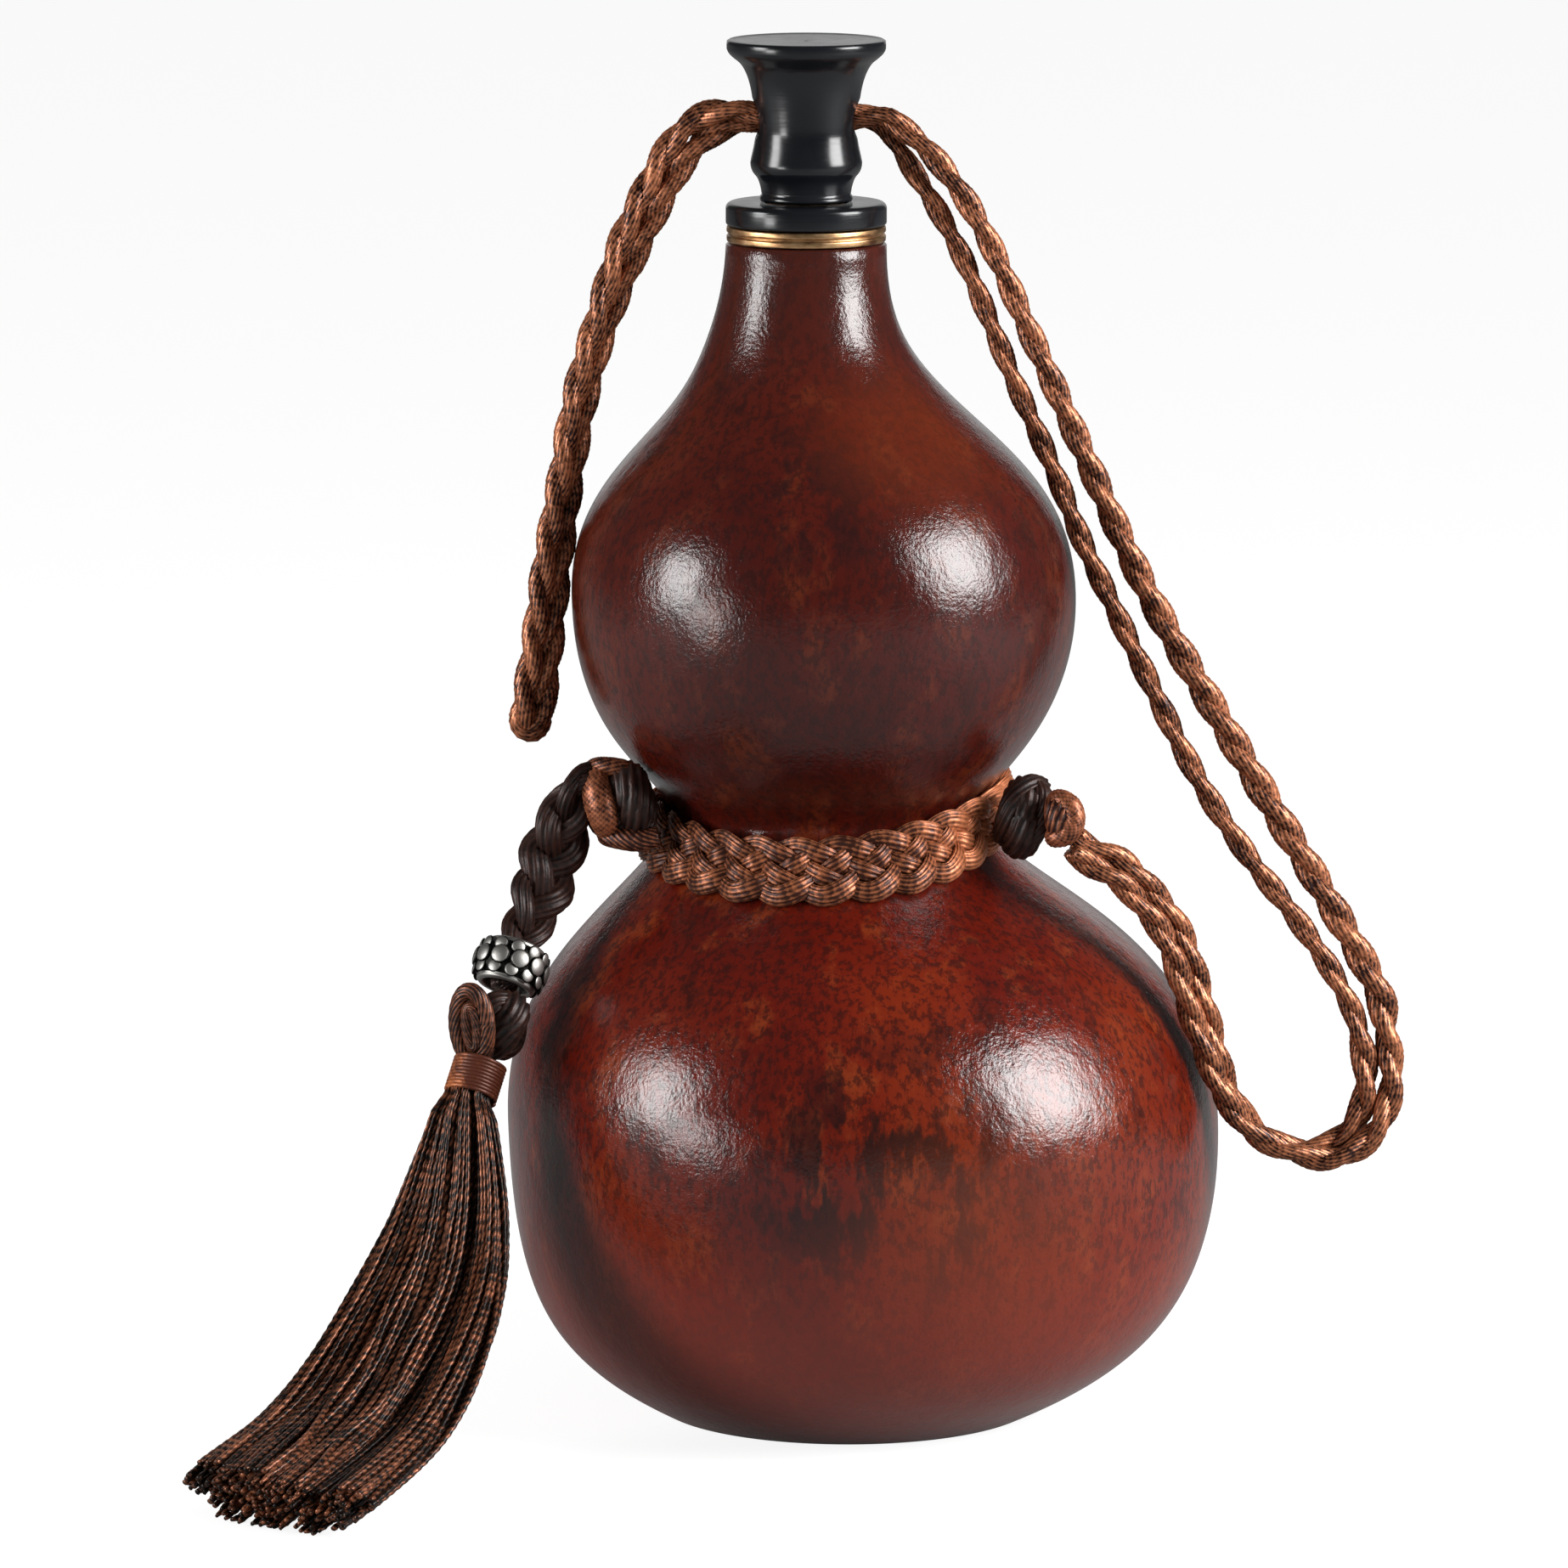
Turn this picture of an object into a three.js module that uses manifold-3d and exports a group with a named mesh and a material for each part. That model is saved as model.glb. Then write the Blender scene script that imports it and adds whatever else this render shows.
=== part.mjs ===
// Lacquered bottle gourd with a turned stopper, a braided waist belt, a doubled strap and a tassel.
// Millimetres, +Z up. The origin is on the table, under the centre of the belly.

import * as THREE from "three";
import { mergeVertices } from "three/addons/utils/BufferGeometryUtils.js";
import Module from "manifold-3d";

const wasm = await Module();
wasm.setup();

// Gourd shell: radii and heights of its outer skin
const footRadius = 27.8;
const bellyRadius = 52;
const bellyHeight = 43;
const waistRadius = 22.9;
const waistHeight = 88.5;
const bulbRadius = 36.4;
const bulbHeight = 120;
const neckRadius = 11.6;
const neckHeight = 171;
const shellWall = 3.6;

// How far each round stretch of the skin keeps its direction before it turns
const footFlare = 14;
const footRise = 7;
const bellyLowerRound = 28;
const bellyUpperRound = 27.2;
const waistLowerHollow = 10.8;
const waistUpperHollow = 4.8;
const bulbLowerRound = 21;
const bulbUpperRound = 23.6;
const neckStraight = 27.2;

// The gourd grew crooked: its centre drifts sideways with height
const footDrift = -2.2;
const waistDrift = -5.3;
const bulbDrift = -5.8;
const neckDrift = -8.2;

// Mouth: brass ring and black collar
const glueLine = 0.2;
const boreRadius = 6;
const collarTubeWall = 2.6;
const collarTubeDepth = 14.8;
const collarRadius = 11.55;
const collarThickness = 3.2;
const collarEdge = 0.25;
const ringRadius = 11.45;
const ringHeight = 2.2;
const ringGroove = 0.22;

// Stopper
const stopperHeight = 23.4;
const discRadius = 11.45;
const discRim = 1.5;
const gripRadius = 7.3;
const bulgeRadius = 8.05;
const stemRadius = 6.45;
const spigotRadius = 3;
const corkLength = 15;
const corkFloor = 2;
const corkTaper = 0.3;
const slidingGap = 0.2;
const seatGap = 0.2;

// Belt round the waist
const beltWidth = 9.4;
const beltThickness = 3;
const beltBelowWaist = 0.9;
const beltDroop = 3.8;
const beltTilt = 1.6;
const beltGap = 0.4;

// Strap: one cord, doubled
const cordRadius = 1.6;
const doubledRadius = 2.7;
const holeGap = 0.3;
const tubeSides = 8;

// Knots
const leftKnotSize = [8.8, 9.4, 13];
const leftKnotAngle = THREE.MathUtils.degToRad(-157);
const leftKnotLift = 2.3;
const leftKnotSettle = 1.3;
const rightKnotSize = [7.2, 8.6, 12.4];
const rightKnotAngle = THREE.MathUtils.degToRad(-28);
const rightKnotLift = 0.9;
const rightKnotSettle = 0.8;
const buttonRadius = 3.1;
const buttonLength = 8.4;
const buttonDirection = new THREE.Vector3(0.7, -0.71, 0.12);
const stubRadius = 3.2;
const hangerOffset = new THREE.Vector3(-11, 0, -7.8);

// Tassel
const hangerRadius = 3;
const hangerLength = 18;
const beadRadius = 5.7;
const beadLength = 7.6;
const beadPlace = 17;
const beadGap = 0.3;
const granuleRadius = 0.75;
const headRadius = 5.3;
const headLength = 10.4;
const threadRadius = 0.4;
const threadTurns = 4;
const threadPitch = 1.25;
const fringeNeckRadius = 3.3;
const fringeWidth = 31;
const fringeThickness = 8.6;
const fringeFlutes = 11;
const fluteDepth = 0.06;
const tipRounding = 0.03;
const neckCrowding = 1.15;
const fullWidthShare = 0.9;
const touchGap = 0.3;

// Heights that follow from the sizes above
const ringFoot = neckHeight + glueLine;
const collarFoot = ringFoot + ringHeight + glueLine;
const collarTop = collarFoot + collarThickness;
const stopperFoot = collarTop + seatGap;
const stopperTop = collarTop + stopperHeight;
const collarTubeRadius = boreRadius + collarTubeWall;
const neckBoreRadius = collarTubeRadius + glueLine;
const gripHeight = stopperFoot + 11.9;
const holeRadius = doubledRadius + holeGap;

const roundSegments = 40;
const smallSegments = 32;

const gourdSkin = new THREE.MeshStandardMaterial({ color: 0x5a1e12, roughness: 0.38, metalness: 0 });
const blackResin = new THREE.MeshStandardMaterial({ color: 0x14161a, roughness: 0.25, metalness: 0 });
const brass = new THREE.MeshStandardMaterial({ color: 0xb08a55, roughness: 0.35, metalness: 1 });
const cork = new THREE.MeshStandardMaterial({ color: 0xb48a5c, roughness: 0.9, metalness: 0 });
const satinCord = new THREE.MeshStandardMaterial({ color: 0x5a2a1c, roughness: 0.5, metalness: 0 });
const darkCord = new THREE.MeshStandardMaterial({ color: 0x33190f, roughness: 0.55, metalness: 0 });
const copperThread = new THREE.MeshStandardMaterial({ color: 0xa0532c, roughness: 0.5, metalness: 0 });
const antiqueSilver = new THREE.MeshStandardMaterial({ color: 0x9a9a96, roughness: 0.35, metalness: 1 });

const bottle = new THREE.Group();

// Shared operations

function signedVolume(geometry) {
  const corner = geometry.index.array;
  const point = geometry.attributes.position;
  const a = new THREE.Vector3();
  const b = new THREE.Vector3();
  const c = new THREE.Vector3();
  let volume = 0;
  for (let i = 0; i < corner.length; i += 3) {
    a.fromBufferAttribute(point, corner[i]);
    b.fromBufferAttribute(point, corner[i + 1]);
    c.fromBufferAttribute(point, corner[i + 2]);
    volume += a.dot(b.cross(c)) / 6;
  }
  return volume;
}

// One closed skin that faces out: shared corners are merged and empty triangles dropped
function closed(geometry) {
  geometry.deleteAttribute("normal");
  geometry.deleteAttribute("uv");
  const skin = mergeVertices(geometry, 1e-4);
  const corner = skin.index.array;
  const kept = [];
  for (let i = 0; i < corner.length; i += 3) {
    const triangle = [corner[i], corner[i + 1], corner[i + 2]];
    if (new Set(triangle).size === 3) {
      kept.push(...triangle);
    }
  }
  skin.setIndex(kept);
  if (signedVolume(skin) < 0) {
    skin.setIndex(kept.reverse());
  }
  return skin;
}

function toSolid(geometry) {
  const skin = closed(geometry);
  return new wasm.Manifold(new wasm.Mesh({
    numProp: 3,
    vertProperties: new Float32Array(skin.attributes.position.array),
    triVerts: new Uint32Array(skin.index.array),
  }));
}

function fromSolid(solid) {
  const mesh = solid.getMesh();
  const geometry = new THREE.BufferGeometry();
  geometry.setAttribute("position", new THREE.BufferAttribute(new Float32Array(mesh.vertProperties), 3));
  geometry.setIndex(Array.from(mesh.triVerts));
  return geometry;
}

function joined(geometries) {
  const solids = geometries.map(toSolid);
  return fromSolid(solids.reduce((whole, next) => whole.add(next)));
}

function addPiece(group, name, geometry, material) {
  const piece = new THREE.Mesh(closed(geometry), material);
  piece.name = name;
  group.add(piece);
  return piece;
}

// A turned body about +Z from a profile of [radius, height] points
function turned(profile, segments) {
  const points = profile.map(([radius, height]) => new THREE.Vector2(radius, height));
  return new THREE.LatheGeometry(points, segments).rotateX(Math.PI / 2);
}

function asVectors(route) {
  return route.map(([x, y, z]) => new THREE.Vector3(x, y, z));
}

function roundSection(radius, sides) {
  const corners = [];
  for (let i = 0; i < sides; i += 1) {
    const angle = (2 * Math.PI * i) / sides;
    corners.push(new THREE.Vector2(radius * Math.cos(angle), radius * Math.sin(angle)));
  }
  return new THREE.Shape(corners);
}

// A cord of one thickness along a smooth route
function cordAlong(route, radius, sides, steps) {
  return new THREE.ExtrudeGeometry(roundSection(radius, sides), {
    steps,
    extrudePath: new THREE.CatmullRomCurve3(asVectors(route)),
    bevelEnabled: false,
  });
}

// Outer outline of the gourd, from the foot's edge up to the neck's rim, as [radius, height]
function gourdOutline() {
  const line = new THREE.Path();
  line.moveTo(footRadius, 0);
  line.bezierCurveTo(
    footRadius + footFlare, footRise,
    bellyRadius, bellyHeight - bellyLowerRound,
    bellyRadius, bellyHeight,
  );
  line.bezierCurveTo(
    bellyRadius, bellyHeight + bellyUpperRound,
    waistRadius, waistHeight - waistLowerHollow,
    waistRadius, waistHeight,
  );
  line.bezierCurveTo(
    waistRadius, waistHeight + waistUpperHollow,
    bulbRadius, bulbHeight - bulbLowerRound,
    bulbRadius, bulbHeight,
  );
  line.bezierCurveTo(
    bulbRadius, bulbHeight + bulbUpperRound,
    neckRadius, neckHeight - neckStraight,
    neckRadius, neckHeight,
  );
  return line;
}

const outline = gourdOutline();

// Sideways place of the gourd's centre, by height
const bellyTop = THREE.MathUtils.lerp(bellyHeight, waistHeight, 0.55);
const shoulder = THREE.MathUtils.lerp(bulbHeight, neckHeight, 0.43);
const drift = new THREE.SplineCurve([
  new THREE.Vector2(footDrift, 0),
  new THREE.Vector2(0, bellyHeight / 2),
  new THREE.Vector2(0, bellyHeight),
  new THREE.Vector2(0.3 * waistDrift, bellyTop),
  new THREE.Vector2(waistDrift, waistHeight),
  new THREE.Vector2(bulbDrift, bulbHeight),
  new THREE.Vector2(THREE.MathUtils.lerp(bulbDrift, neckDrift, 0.12), shoulder),
  new THREE.Vector2(neckDrift, neckHeight - neckStraight / 2),
  new THREE.Vector2(neckDrift, neckHeight),
]).getPoints(120);

// Value of x at height y on a line of points that climbs
function valueAt(line, height) {
  const next = line.findIndex((point) => point.y >= height);
  if (next === 0) {
    return line[0].x;
  }
  const low = line[next - 1];
  const high = line[next];
  return THREE.MathUtils.mapLinear(height, low.y, high.y, low.x, high.x);
}

// The skin's rows: radius by height, and the drift of those same rows
const skinRows = outline.getPoints(8);
const driftRows = skinRows.map((row) => new THREE.Vector2(valueAt(drift, row.y), row.y));

// Shell: the outline outside, the same line set in by the wall inside, reamed for the collar's tube

function gourdShell() {
  const outside = skinRows.map((row) => [row.x, row.y]);
  const inside = [];
  const line = outline.getPoints(4);
  for (let i = 1; i < line.length - 1; i += 1) {
    const along = line[i + 1].clone().sub(line[i - 1]).normalize();
    const radius = line[i].x - along.y * shellWall;
    const height = line[i].y + along.x * shellWall;
    inside.push([Math.max(radius, neckBoreRadius), Math.max(height, shellWall)]);
  }
  const profile = [
    [0, 0],
    ...outside,
    [neckBoreRadius, neckHeight],
    ...inside.reverse(),
    [footRadius - shellWall, shellWall],
    [0, shellWall],
  ];
  const shell = turned(profile, roundSegments);
  const point = shell.attributes.position;
  for (let i = 0; i < point.count; i += 1) {
    point.setX(i, point.getX(i) + valueAt(driftRows, point.getZ(i)));
  }
  return shell;
}

addPiece(bottle, "gourd_body", gourdShell(), gourdSkin);

// Mouth: brass ring and the collar, whose tube is glued into the neck

function brassRing() {
  const middle = ringFoot + ringHeight / 2;
  return turned([
    [neckBoreRadius, ringFoot],
    [ringRadius, ringFoot],
    [ringRadius, middle - ringGroove],
    [ringRadius - ringGroove, middle],
    [ringRadius, middle + ringGroove],
    [ringRadius, ringFoot + ringHeight],
    [neckBoreRadius, ringFoot + ringHeight],
    [neckBoreRadius, ringFoot],
  ], smallSegments);
}

function mouthCollar() {
  const tubeFoot = collarFoot - collarTubeDepth;
  return turned([
    [boreRadius, tubeFoot],
    [collarTubeRadius, tubeFoot],
    [collarTubeRadius, collarFoot],
    [collarRadius - collarEdge, collarFoot],
    [collarRadius, collarFoot + collarEdge],
    [collarRadius, collarTop - collarEdge],
    [collarRadius - collarEdge, collarTop],
    [boreRadius, collarTop],
    [boreRadius, tubeFoot],
  ], smallSegments);
}

addPiece(bottle, "neck_ring", brassRing(), brass).position.x = neckDrift;
addPiece(bottle, "mouth_collar", mouthCollar(), blackResin).position.x = neckDrift;

// Stopper: a turned knob, drilled across its grip for the strap, with a cork sleeve on its spigot

const stopper = new THREE.Group();
stopper.position.x = neckDrift;
bottle.add(stopper);

const corkFoot = collarTop - corkLength;
const corkRadius = boreRadius - slidingGap;

function stopperKnob() {
  const side = new THREE.SplineCurve([
    new THREE.Vector2(discRadius, stopperTop - discRim),
    new THREE.Vector2(gripRadius + 2.15, gripHeight + 7.8),
    new THREE.Vector2(gripRadius + 0.85, gripHeight + 4.9),
    new THREE.Vector2(gripRadius + 0.3, gripHeight + 1.3),
    new THREE.Vector2(gripRadius, gripHeight - 2),
    new THREE.Vector2(bulgeRadius, gripHeight - 6.3),
  ]).getPoints(14);
  const profile = [
    [0, stopperTop],
    [discRadius - collarEdge, stopperTop],
    [discRadius, stopperTop - collarEdge],
    ...side.map((point) => [point.x, point.y]),
    [bulgeRadius - 0.1, gripHeight - 7.2],
    [stemRadius + 0.6, gripHeight - 8.6],
    [stemRadius + 0.1, gripHeight - 10.1],
    [stemRadius, stopperFoot],
    [spigotRadius, stopperFoot],
    [spigotRadius, corkFoot + corkFloor + seatGap],
    [0, corkFoot + corkFloor + seatGap],
  ];
  const strapHole = new THREE.CylinderGeometry(holeRadius, holeRadius, 3 * gripRadius, 16);
  strapHole.rotateZ(Math.PI / 2);
  strapHole.translate(0, 0, gripHeight);
  const knob = toSolid(turned(profile, smallSegments));
  return fromSolid(knob.subtract(toSolid(strapHole)));
}

function corkSleeve() {
  const innerRadius = spigotRadius + seatGap;
  return turned([
    [0, corkFoot],
    [corkRadius - corkTaper, corkFoot],
    [corkRadius, collarTop - seatGap],
    [innerRadius, collarTop - seatGap],
    [innerRadius, corkFoot + corkFloor],
    [0, corkFoot + corkFloor],
  ], smallSegments);
}

addPiece(stopper, "stopper_knob", stopperKnob(), blackResin);
addPiece(stopper, "stopper_cork", corkSleeve(), cork);

// Belt: a flat braid that follows the waist and droops in front onto the belly

function waistBelt() {
  const half = beltWidth / 2;
  const soft = beltThickness / 4;
  const section = [
    [0, -half + soft],
    [soft, -half],
    [beltThickness - soft, -half],
    [beltThickness, -half + soft],
    [beltThickness, half - soft],
    [beltThickness - soft, half],
    [soft, half],
    [0, half - soft],
    [0, 0],
    [0, -half + soft],
  ];
  const flatRadius = 100;
  const belt = turned(section.map(([out, up]) => [flatRadius + out, up]), roundSegments);
  const point = belt.attributes.position;
  for (let i = 0; i < point.count; i += 1) {
    const angle = Math.atan2(point.getY(i), point.getX(i));
    const out = Math.hypot(point.getX(i), point.getY(i)) - flatRadius;
    const towardsFront = Math.max(-Math.sin(angle), 0);
    const rise = beltTilt * Math.cos(angle) - beltDroop * towardsFront ** 1.5;
    const height = waistHeight - beltBelowWaist + rise + point.getZ(i);
    const radius = valueAt(skinRows, height) + beltGap + out;
    const centre = valueAt(driftRows, height);
    point.setXYZ(i, centre + radius * Math.cos(angle), radius * Math.sin(angle), height);
  }
  return belt;
}

addPiece(bottle, "waist_belt", waistBelt(), satinCord);

// Knots: a trefoil of thick braid at each end of the belt, and a round button knot for the strap

function trefoil(size, centre, turn) {
  const knot = new THREE.TorusKnotGeometry(1, 0.46, 42, 8, 2, 3);
  knot.rotateX(Math.PI / 2);
  knot.computeBoundingBox();
  const extent = knot.boundingBox.getSize(new THREE.Vector3());
  knot.scale(size[0] / extent.x, size[1] / extent.y, size[2] / extent.z);
  knot.rotateZ(turn);
  knot.translate(centre.x, centre.y, centre.z);
  return knot;
}

// Three round bands that cross over a core, about +Z
function bandedBall(radius, length) {
  const bandRadius = 0.3 * radius;
  const bands = [new THREE.SphereGeometry(radius - 0.8 * bandRadius, 12, 8)];
  for (let i = 0; i < 3; i += 1) {
    const band = new THREE.TorusGeometry(radius - bandRadius, bandRadius, 6, 15);
    band.rotateX(Math.PI / 3.2);
    band.rotateZ((i * 2 * Math.PI) / 3);
    bands.push(band);
  }
  const ball = joined(bands);
  ball.computeBoundingBox();
  const extent = ball.boundingBox.getSize(new THREE.Vector3());
  ball.scale(2 * radius / extent.x, 2 * radius / extent.y, length / extent.z);
  return ball;
}

const beltReach = valueAt(skinRows, waistHeight + beltWidth / 2) + beltGap + beltThickness;

// Centre of a knot that lies against the outside of the belt and settles into its slope
function besideBelt(angle, size, lift, settle) {
  const reach = beltReach + size[0] / 2 - settle;
  return new THREE.Vector3(waistDrift + reach * Math.cos(angle), reach * Math.sin(angle), waistHeight + lift);
}

const leftKnotCentre = besideBelt(leftKnotAngle, leftKnotSize, leftKnotLift, leftKnotSettle);
const rightKnotCentre = besideBelt(rightKnotAngle, rightKnotSize, rightKnotLift, rightKnotSettle);
const buttonReach = rightKnotSize[1] / 2 + buttonRadius;
const buttonCentre = rightKnotCentre.clone().addScaledVector(buttonDirection, buttonReach);
const tasselPivot = leftKnotCentre.clone().add(hangerOffset);

function beside(place, offsets) {
  return offsets.map(([x, y, z]) => [place.x + x, place.y + y, place.z + z]);
}

function leftKnot() {
  const stub = cordAlong(beside(leftKnotCentre, [
    [-1, 0, 3.2],
    [-6, 0, 3],
    [-9, 0, -0.3],
    [-10.2, 0, -4.4],
  ]), stubRadius, 10, 6);
  return joined([trefoil(leftKnotSize, leftKnotCentre, leftKnotAngle), stub]);
}

addPiece(bottle, "left_knot", leftKnot(), darkCord);
addPiece(bottle, "right_knot", trefoil(rightKnotSize, rightKnotCentre, rightKnotAngle), darkCord);
const buttonKnot = addPiece(bottle, "button_knot", bandedBall(buttonRadius, buttonLength), satinCord);
buttonKnot.position.copy(buttonCentre);

// Strap: doubled from the button knot round the loop, two strands up to the stopper, then doubled
// through the stopper and down on the left

const strandSpread = cordRadius + touchGap;
const lowerLoopRoute = [
  ...beside(buttonCentre, [[2.1, 0, -4.5], [4.3, 0.9, -6.6]]),
  [36.1, -18.8, 81.4],
  [39.7, -17.8, 77.4],
  [42.5, -17.2, 73.9],
  [44.7, -17, 70.1],
  [46.2, -16.8, 66.3],
  [47.7, -16.8, 62.3],
  [49.2, -16.8, 58.3],
  [50.5, -16.8, 54.3],
  [52, -16.6, 50.4],
  [54.1, -16.2, 46.7],
  [57.3, -15.7, 43.1],
  [61.8, -15.2, 40.8],
  [66.9, -14.7, 40.2],
  [71.1, -14.2, 42.1],
  [73.8, -13.6, 45.9],
  [74.7, -13, 50.5],
  [74.4, -12.6, 54.4],
  [73.7, -12.3, 57.5],
];
const outerStrandRoute = [
  [75.3, -11.8, 58.7],
  [74.5, -11.7, 62.4],
  [72.4, -11.5, 66.8],
  [68.3, -10.8, 74.1],
  [63.6, -10.2, 82],
  [58.8, -9.6, 89.8],
  [54.1, -9, 97.7],
  [49.4, -8.5, 105.6],
  [44.8, -8, 113.4],
  [40.5, -7.4, 121.2],
  [36.7, -6.8, 129.1],
  [33.2, -6.3, 136.9],
  [29.7, -5.8, 144.7],
  [26.2, -5.2, 152.5],
  [22.6, -4.6, 160.3],
  [19.2, -4, 168.1],
  [15.7, -3.4, 175.8],
  [13.1, -3, 179.7],
  [10.3, -2.6, 183.3],
  [7.2, -2.2, 186.4],
  [4.6, -1.9, 188.3],
  [3.2, -1.75, gripHeight + 0.5 * strandSpread],
  [1.8, -1.7, gripHeight + 0.5 * strandSpread],
];
const innerStrandRoute = [
  [71.6, -12.3, 58.6],
  [70, -12.2, 62.4],
  [67.5, -12, 66.9],
  [62.5, -11.2, 74.2],
  [56.4, -10.4, 82],
  [51, -9.4, 89.8],
  [46.5, -8.6, 97.6],
  [42.6, -8, 105.5],
  [38.8, -7.4, 113.3],
  [35, -6.8, 121.2],
  [31.3, -6.2, 129],
  [28.2, -5.6, 136.8],
  [24.8, -5, 144.6],
  [21.3, -4.4, 152.4],
  [18.1, -3.8, 160.2],
  [14.8, -3, 168],
  [10.9, -1.8, 175.4],
  [8.5, -0.6, 179.2],
  [6.1, 0.6, 182.9],
  [4.3, 1.4, 185.8],
  [3.2, 1.65, gripHeight - 0.5 * strandSpread],
  [1.8, 1.7, gripHeight - 0.5 * strandSpread],
];
const leftFallRoute = [
  [1.3, 0, gripHeight],
  [-2.5, 0, gripHeight],
  [-8.2, 0, gripHeight],
  [-14, 0, gripHeight],
  [-18.6, 0, gripHeight],
  [-21.8, 0, 188.2],
  [-24.6, 0, 186.3],
  [-26.9, 0, 183.6],
  [-29.2, 0, 179.6],
  [-31.3, 0, 175.5],
  [-33.3, 0, 171.3],
  [-35.2, 0, 166.6],
  [-38, 0, 158.4],
  [-40.1, 0, 151.4],
  [-41.7, 0, 144],
  [-42.9, 0, 137],
  [-44, 0, 130.2],
  [-45.1, 0, 123.1],
  [-46, 0, 115.9],
  [-46.8, 0, 109.7],
  [-47.6, 0, 104.2],
  [-48.2, 0, 99.2],
];

addPiece(bottle, "strap_lower_loop", cordAlong(lowerLoopRoute, doubledRadius, tubeSides, 18), satinCord);
addPiece(bottle, "strap_outer_strand", cordAlong(outerStrandRoute, cordRadius, tubeSides, 20), satinCord);
addPiece(bottle, "strap_inner_strand", cordAlong(innerStrandRoute, cordRadius, tubeSides, 20), satinCord);
addPiece(bottle, "strap_left_fall", cordAlong(leftFallRoute, doubledRadius, tubeSides, 20), satinCord);

// Tassel: it swings from a pivot under the left knot. In its own frame the braid hangs along -Z.

const dropDirection = new THREE.Vector3(-0.28, -0.455, -0.845).normalize();
const drop = new THREE.Group();
drop.position.copy(tasselPivot);
drop.quaternion.setFromUnitVectors(new THREE.Vector3(0, 0, -1), dropDirection);
bottle.add(drop);

const beadFoot = beadPlace + beadLength / 2;
const headMiddle = beadFoot + touchGap + headLength / 2;
const headFoot = headMiddle + headLength / 2;

function hangerBraid() {
  const braid = new THREE.CapsuleGeometry(hangerRadius, hangerLength, 3, 12);
  braid.rotateX(Math.PI / 2);
  braid.translate(0, 0, -hangerLength / 2);
  return braid;
}

// A barrel bead with a rim at each end and two rows of granules
function silverBead() {
  const half = beadLength / 2;
  const bore = hangerRadius + beadGap;
  const rim = bore + 1.3;
  const belly = beadRadius - granuleRadius * 0.6;
  const barrel = turned([
    [bore, -half],
    [rim, -half],
    [rim, -half + 0.9],
    [belly - 0.5, -half + 1.5],
    [belly, 0],
    [belly - 0.5, half - 1.5],
    [rim, half - 0.9],
    [rim, half],
    [bore, half],
    [bore, -half],
  ], 24);
  const parts = [barrel];
  const perRow = 10;
  for (const [row, height] of [-1.15, 1.15].entries()) {
    for (let i = 0; i < perRow; i += 1) {
      const angle = (2 * Math.PI * (i + row / 2)) / perRow;
      const granule = new THREE.IcosahedronGeometry(granuleRadius);
      granule.translate((belly - 0.15) * Math.cos(angle), (belly - 0.15) * Math.sin(angle), height);
      parts.push(granule);
    }
  }
  return joined(parts);
}

addPiece(drop, "hanger_braid", hangerBraid(), darkCord);
addPiece(drop, "silver_bead", silverBead(), antiqueSilver).position.z = -beadPlace;
addPiece(drop, "tassel_head_knot", bandedBall(headRadius, headLength), darkCord).position.z = -headMiddle;

// Binding thread wound round the fringe's neck

const bindingLength = threadTurns * threadPitch + 2 * threadRadius;

class Helix extends THREE.Curve {
  getPoint(t, target = new THREE.Vector3()) {
    const angle = 2 * Math.PI * threadTurns * t;
    const radius = fringeNeckRadius + touchGap + threadRadius;
    return target.set(
      radius * Math.cos(angle),
      radius * Math.sin(angle),
      (t - 0.5) * threadTurns * threadPitch,
    );
  }
}

function bindingThread() {
  return new THREE.ExtrudeGeometry(roundSection(threadRadius, 6), {
    steps: 24 * threadTurns,
    extrudePath: new Helix(),
    bevelEnabled: false,
  });
}

function leastGapOfBinding() {
  const points = new Helix().getPoints(24 * threadTurns);
  let least = Infinity;
  for (let i = 0; i < points.length; i += 1) {
    for (let j = i + 12; j < points.length; j += 1) {
      least = Math.min(least, points[i].distanceTo(points[j]) - 2 * threadRadius);
    }
  }
  return least;
}

console.log(`tassel_binding: least gap to itself ${leastGapOfBinding().toFixed(2)} mm`);
const bindingMiddle = headFoot + touchGap + bindingLength / 2;
addPiece(drop, "tassel_binding", bindingThread(), copperThread).position.z = -bindingMiddle;

// Fringe: a fluted skirt of threads that widens, bends outwards and lies down on the table

const fringeRoot = dropDirection.clone().multiplyScalar(headFoot + touchGap).add(drop.position);
const fringeNeck = dropDirection.clone().multiplyScalar(bindingLength + touchGap);
const fringeBend = [
  [0, 0, 0],
  fringeNeck.clone().multiplyScalar(0.5).toArray(),
  fringeNeck.toArray(),
  [-4.8, -9.8, -23.1],
  [-9.8, -20.3, -35.1],
  [-17.8, -33.8, -45.6],
  [-29, -51.8, -51.8],
];
const tableGap = 0.3;

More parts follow.
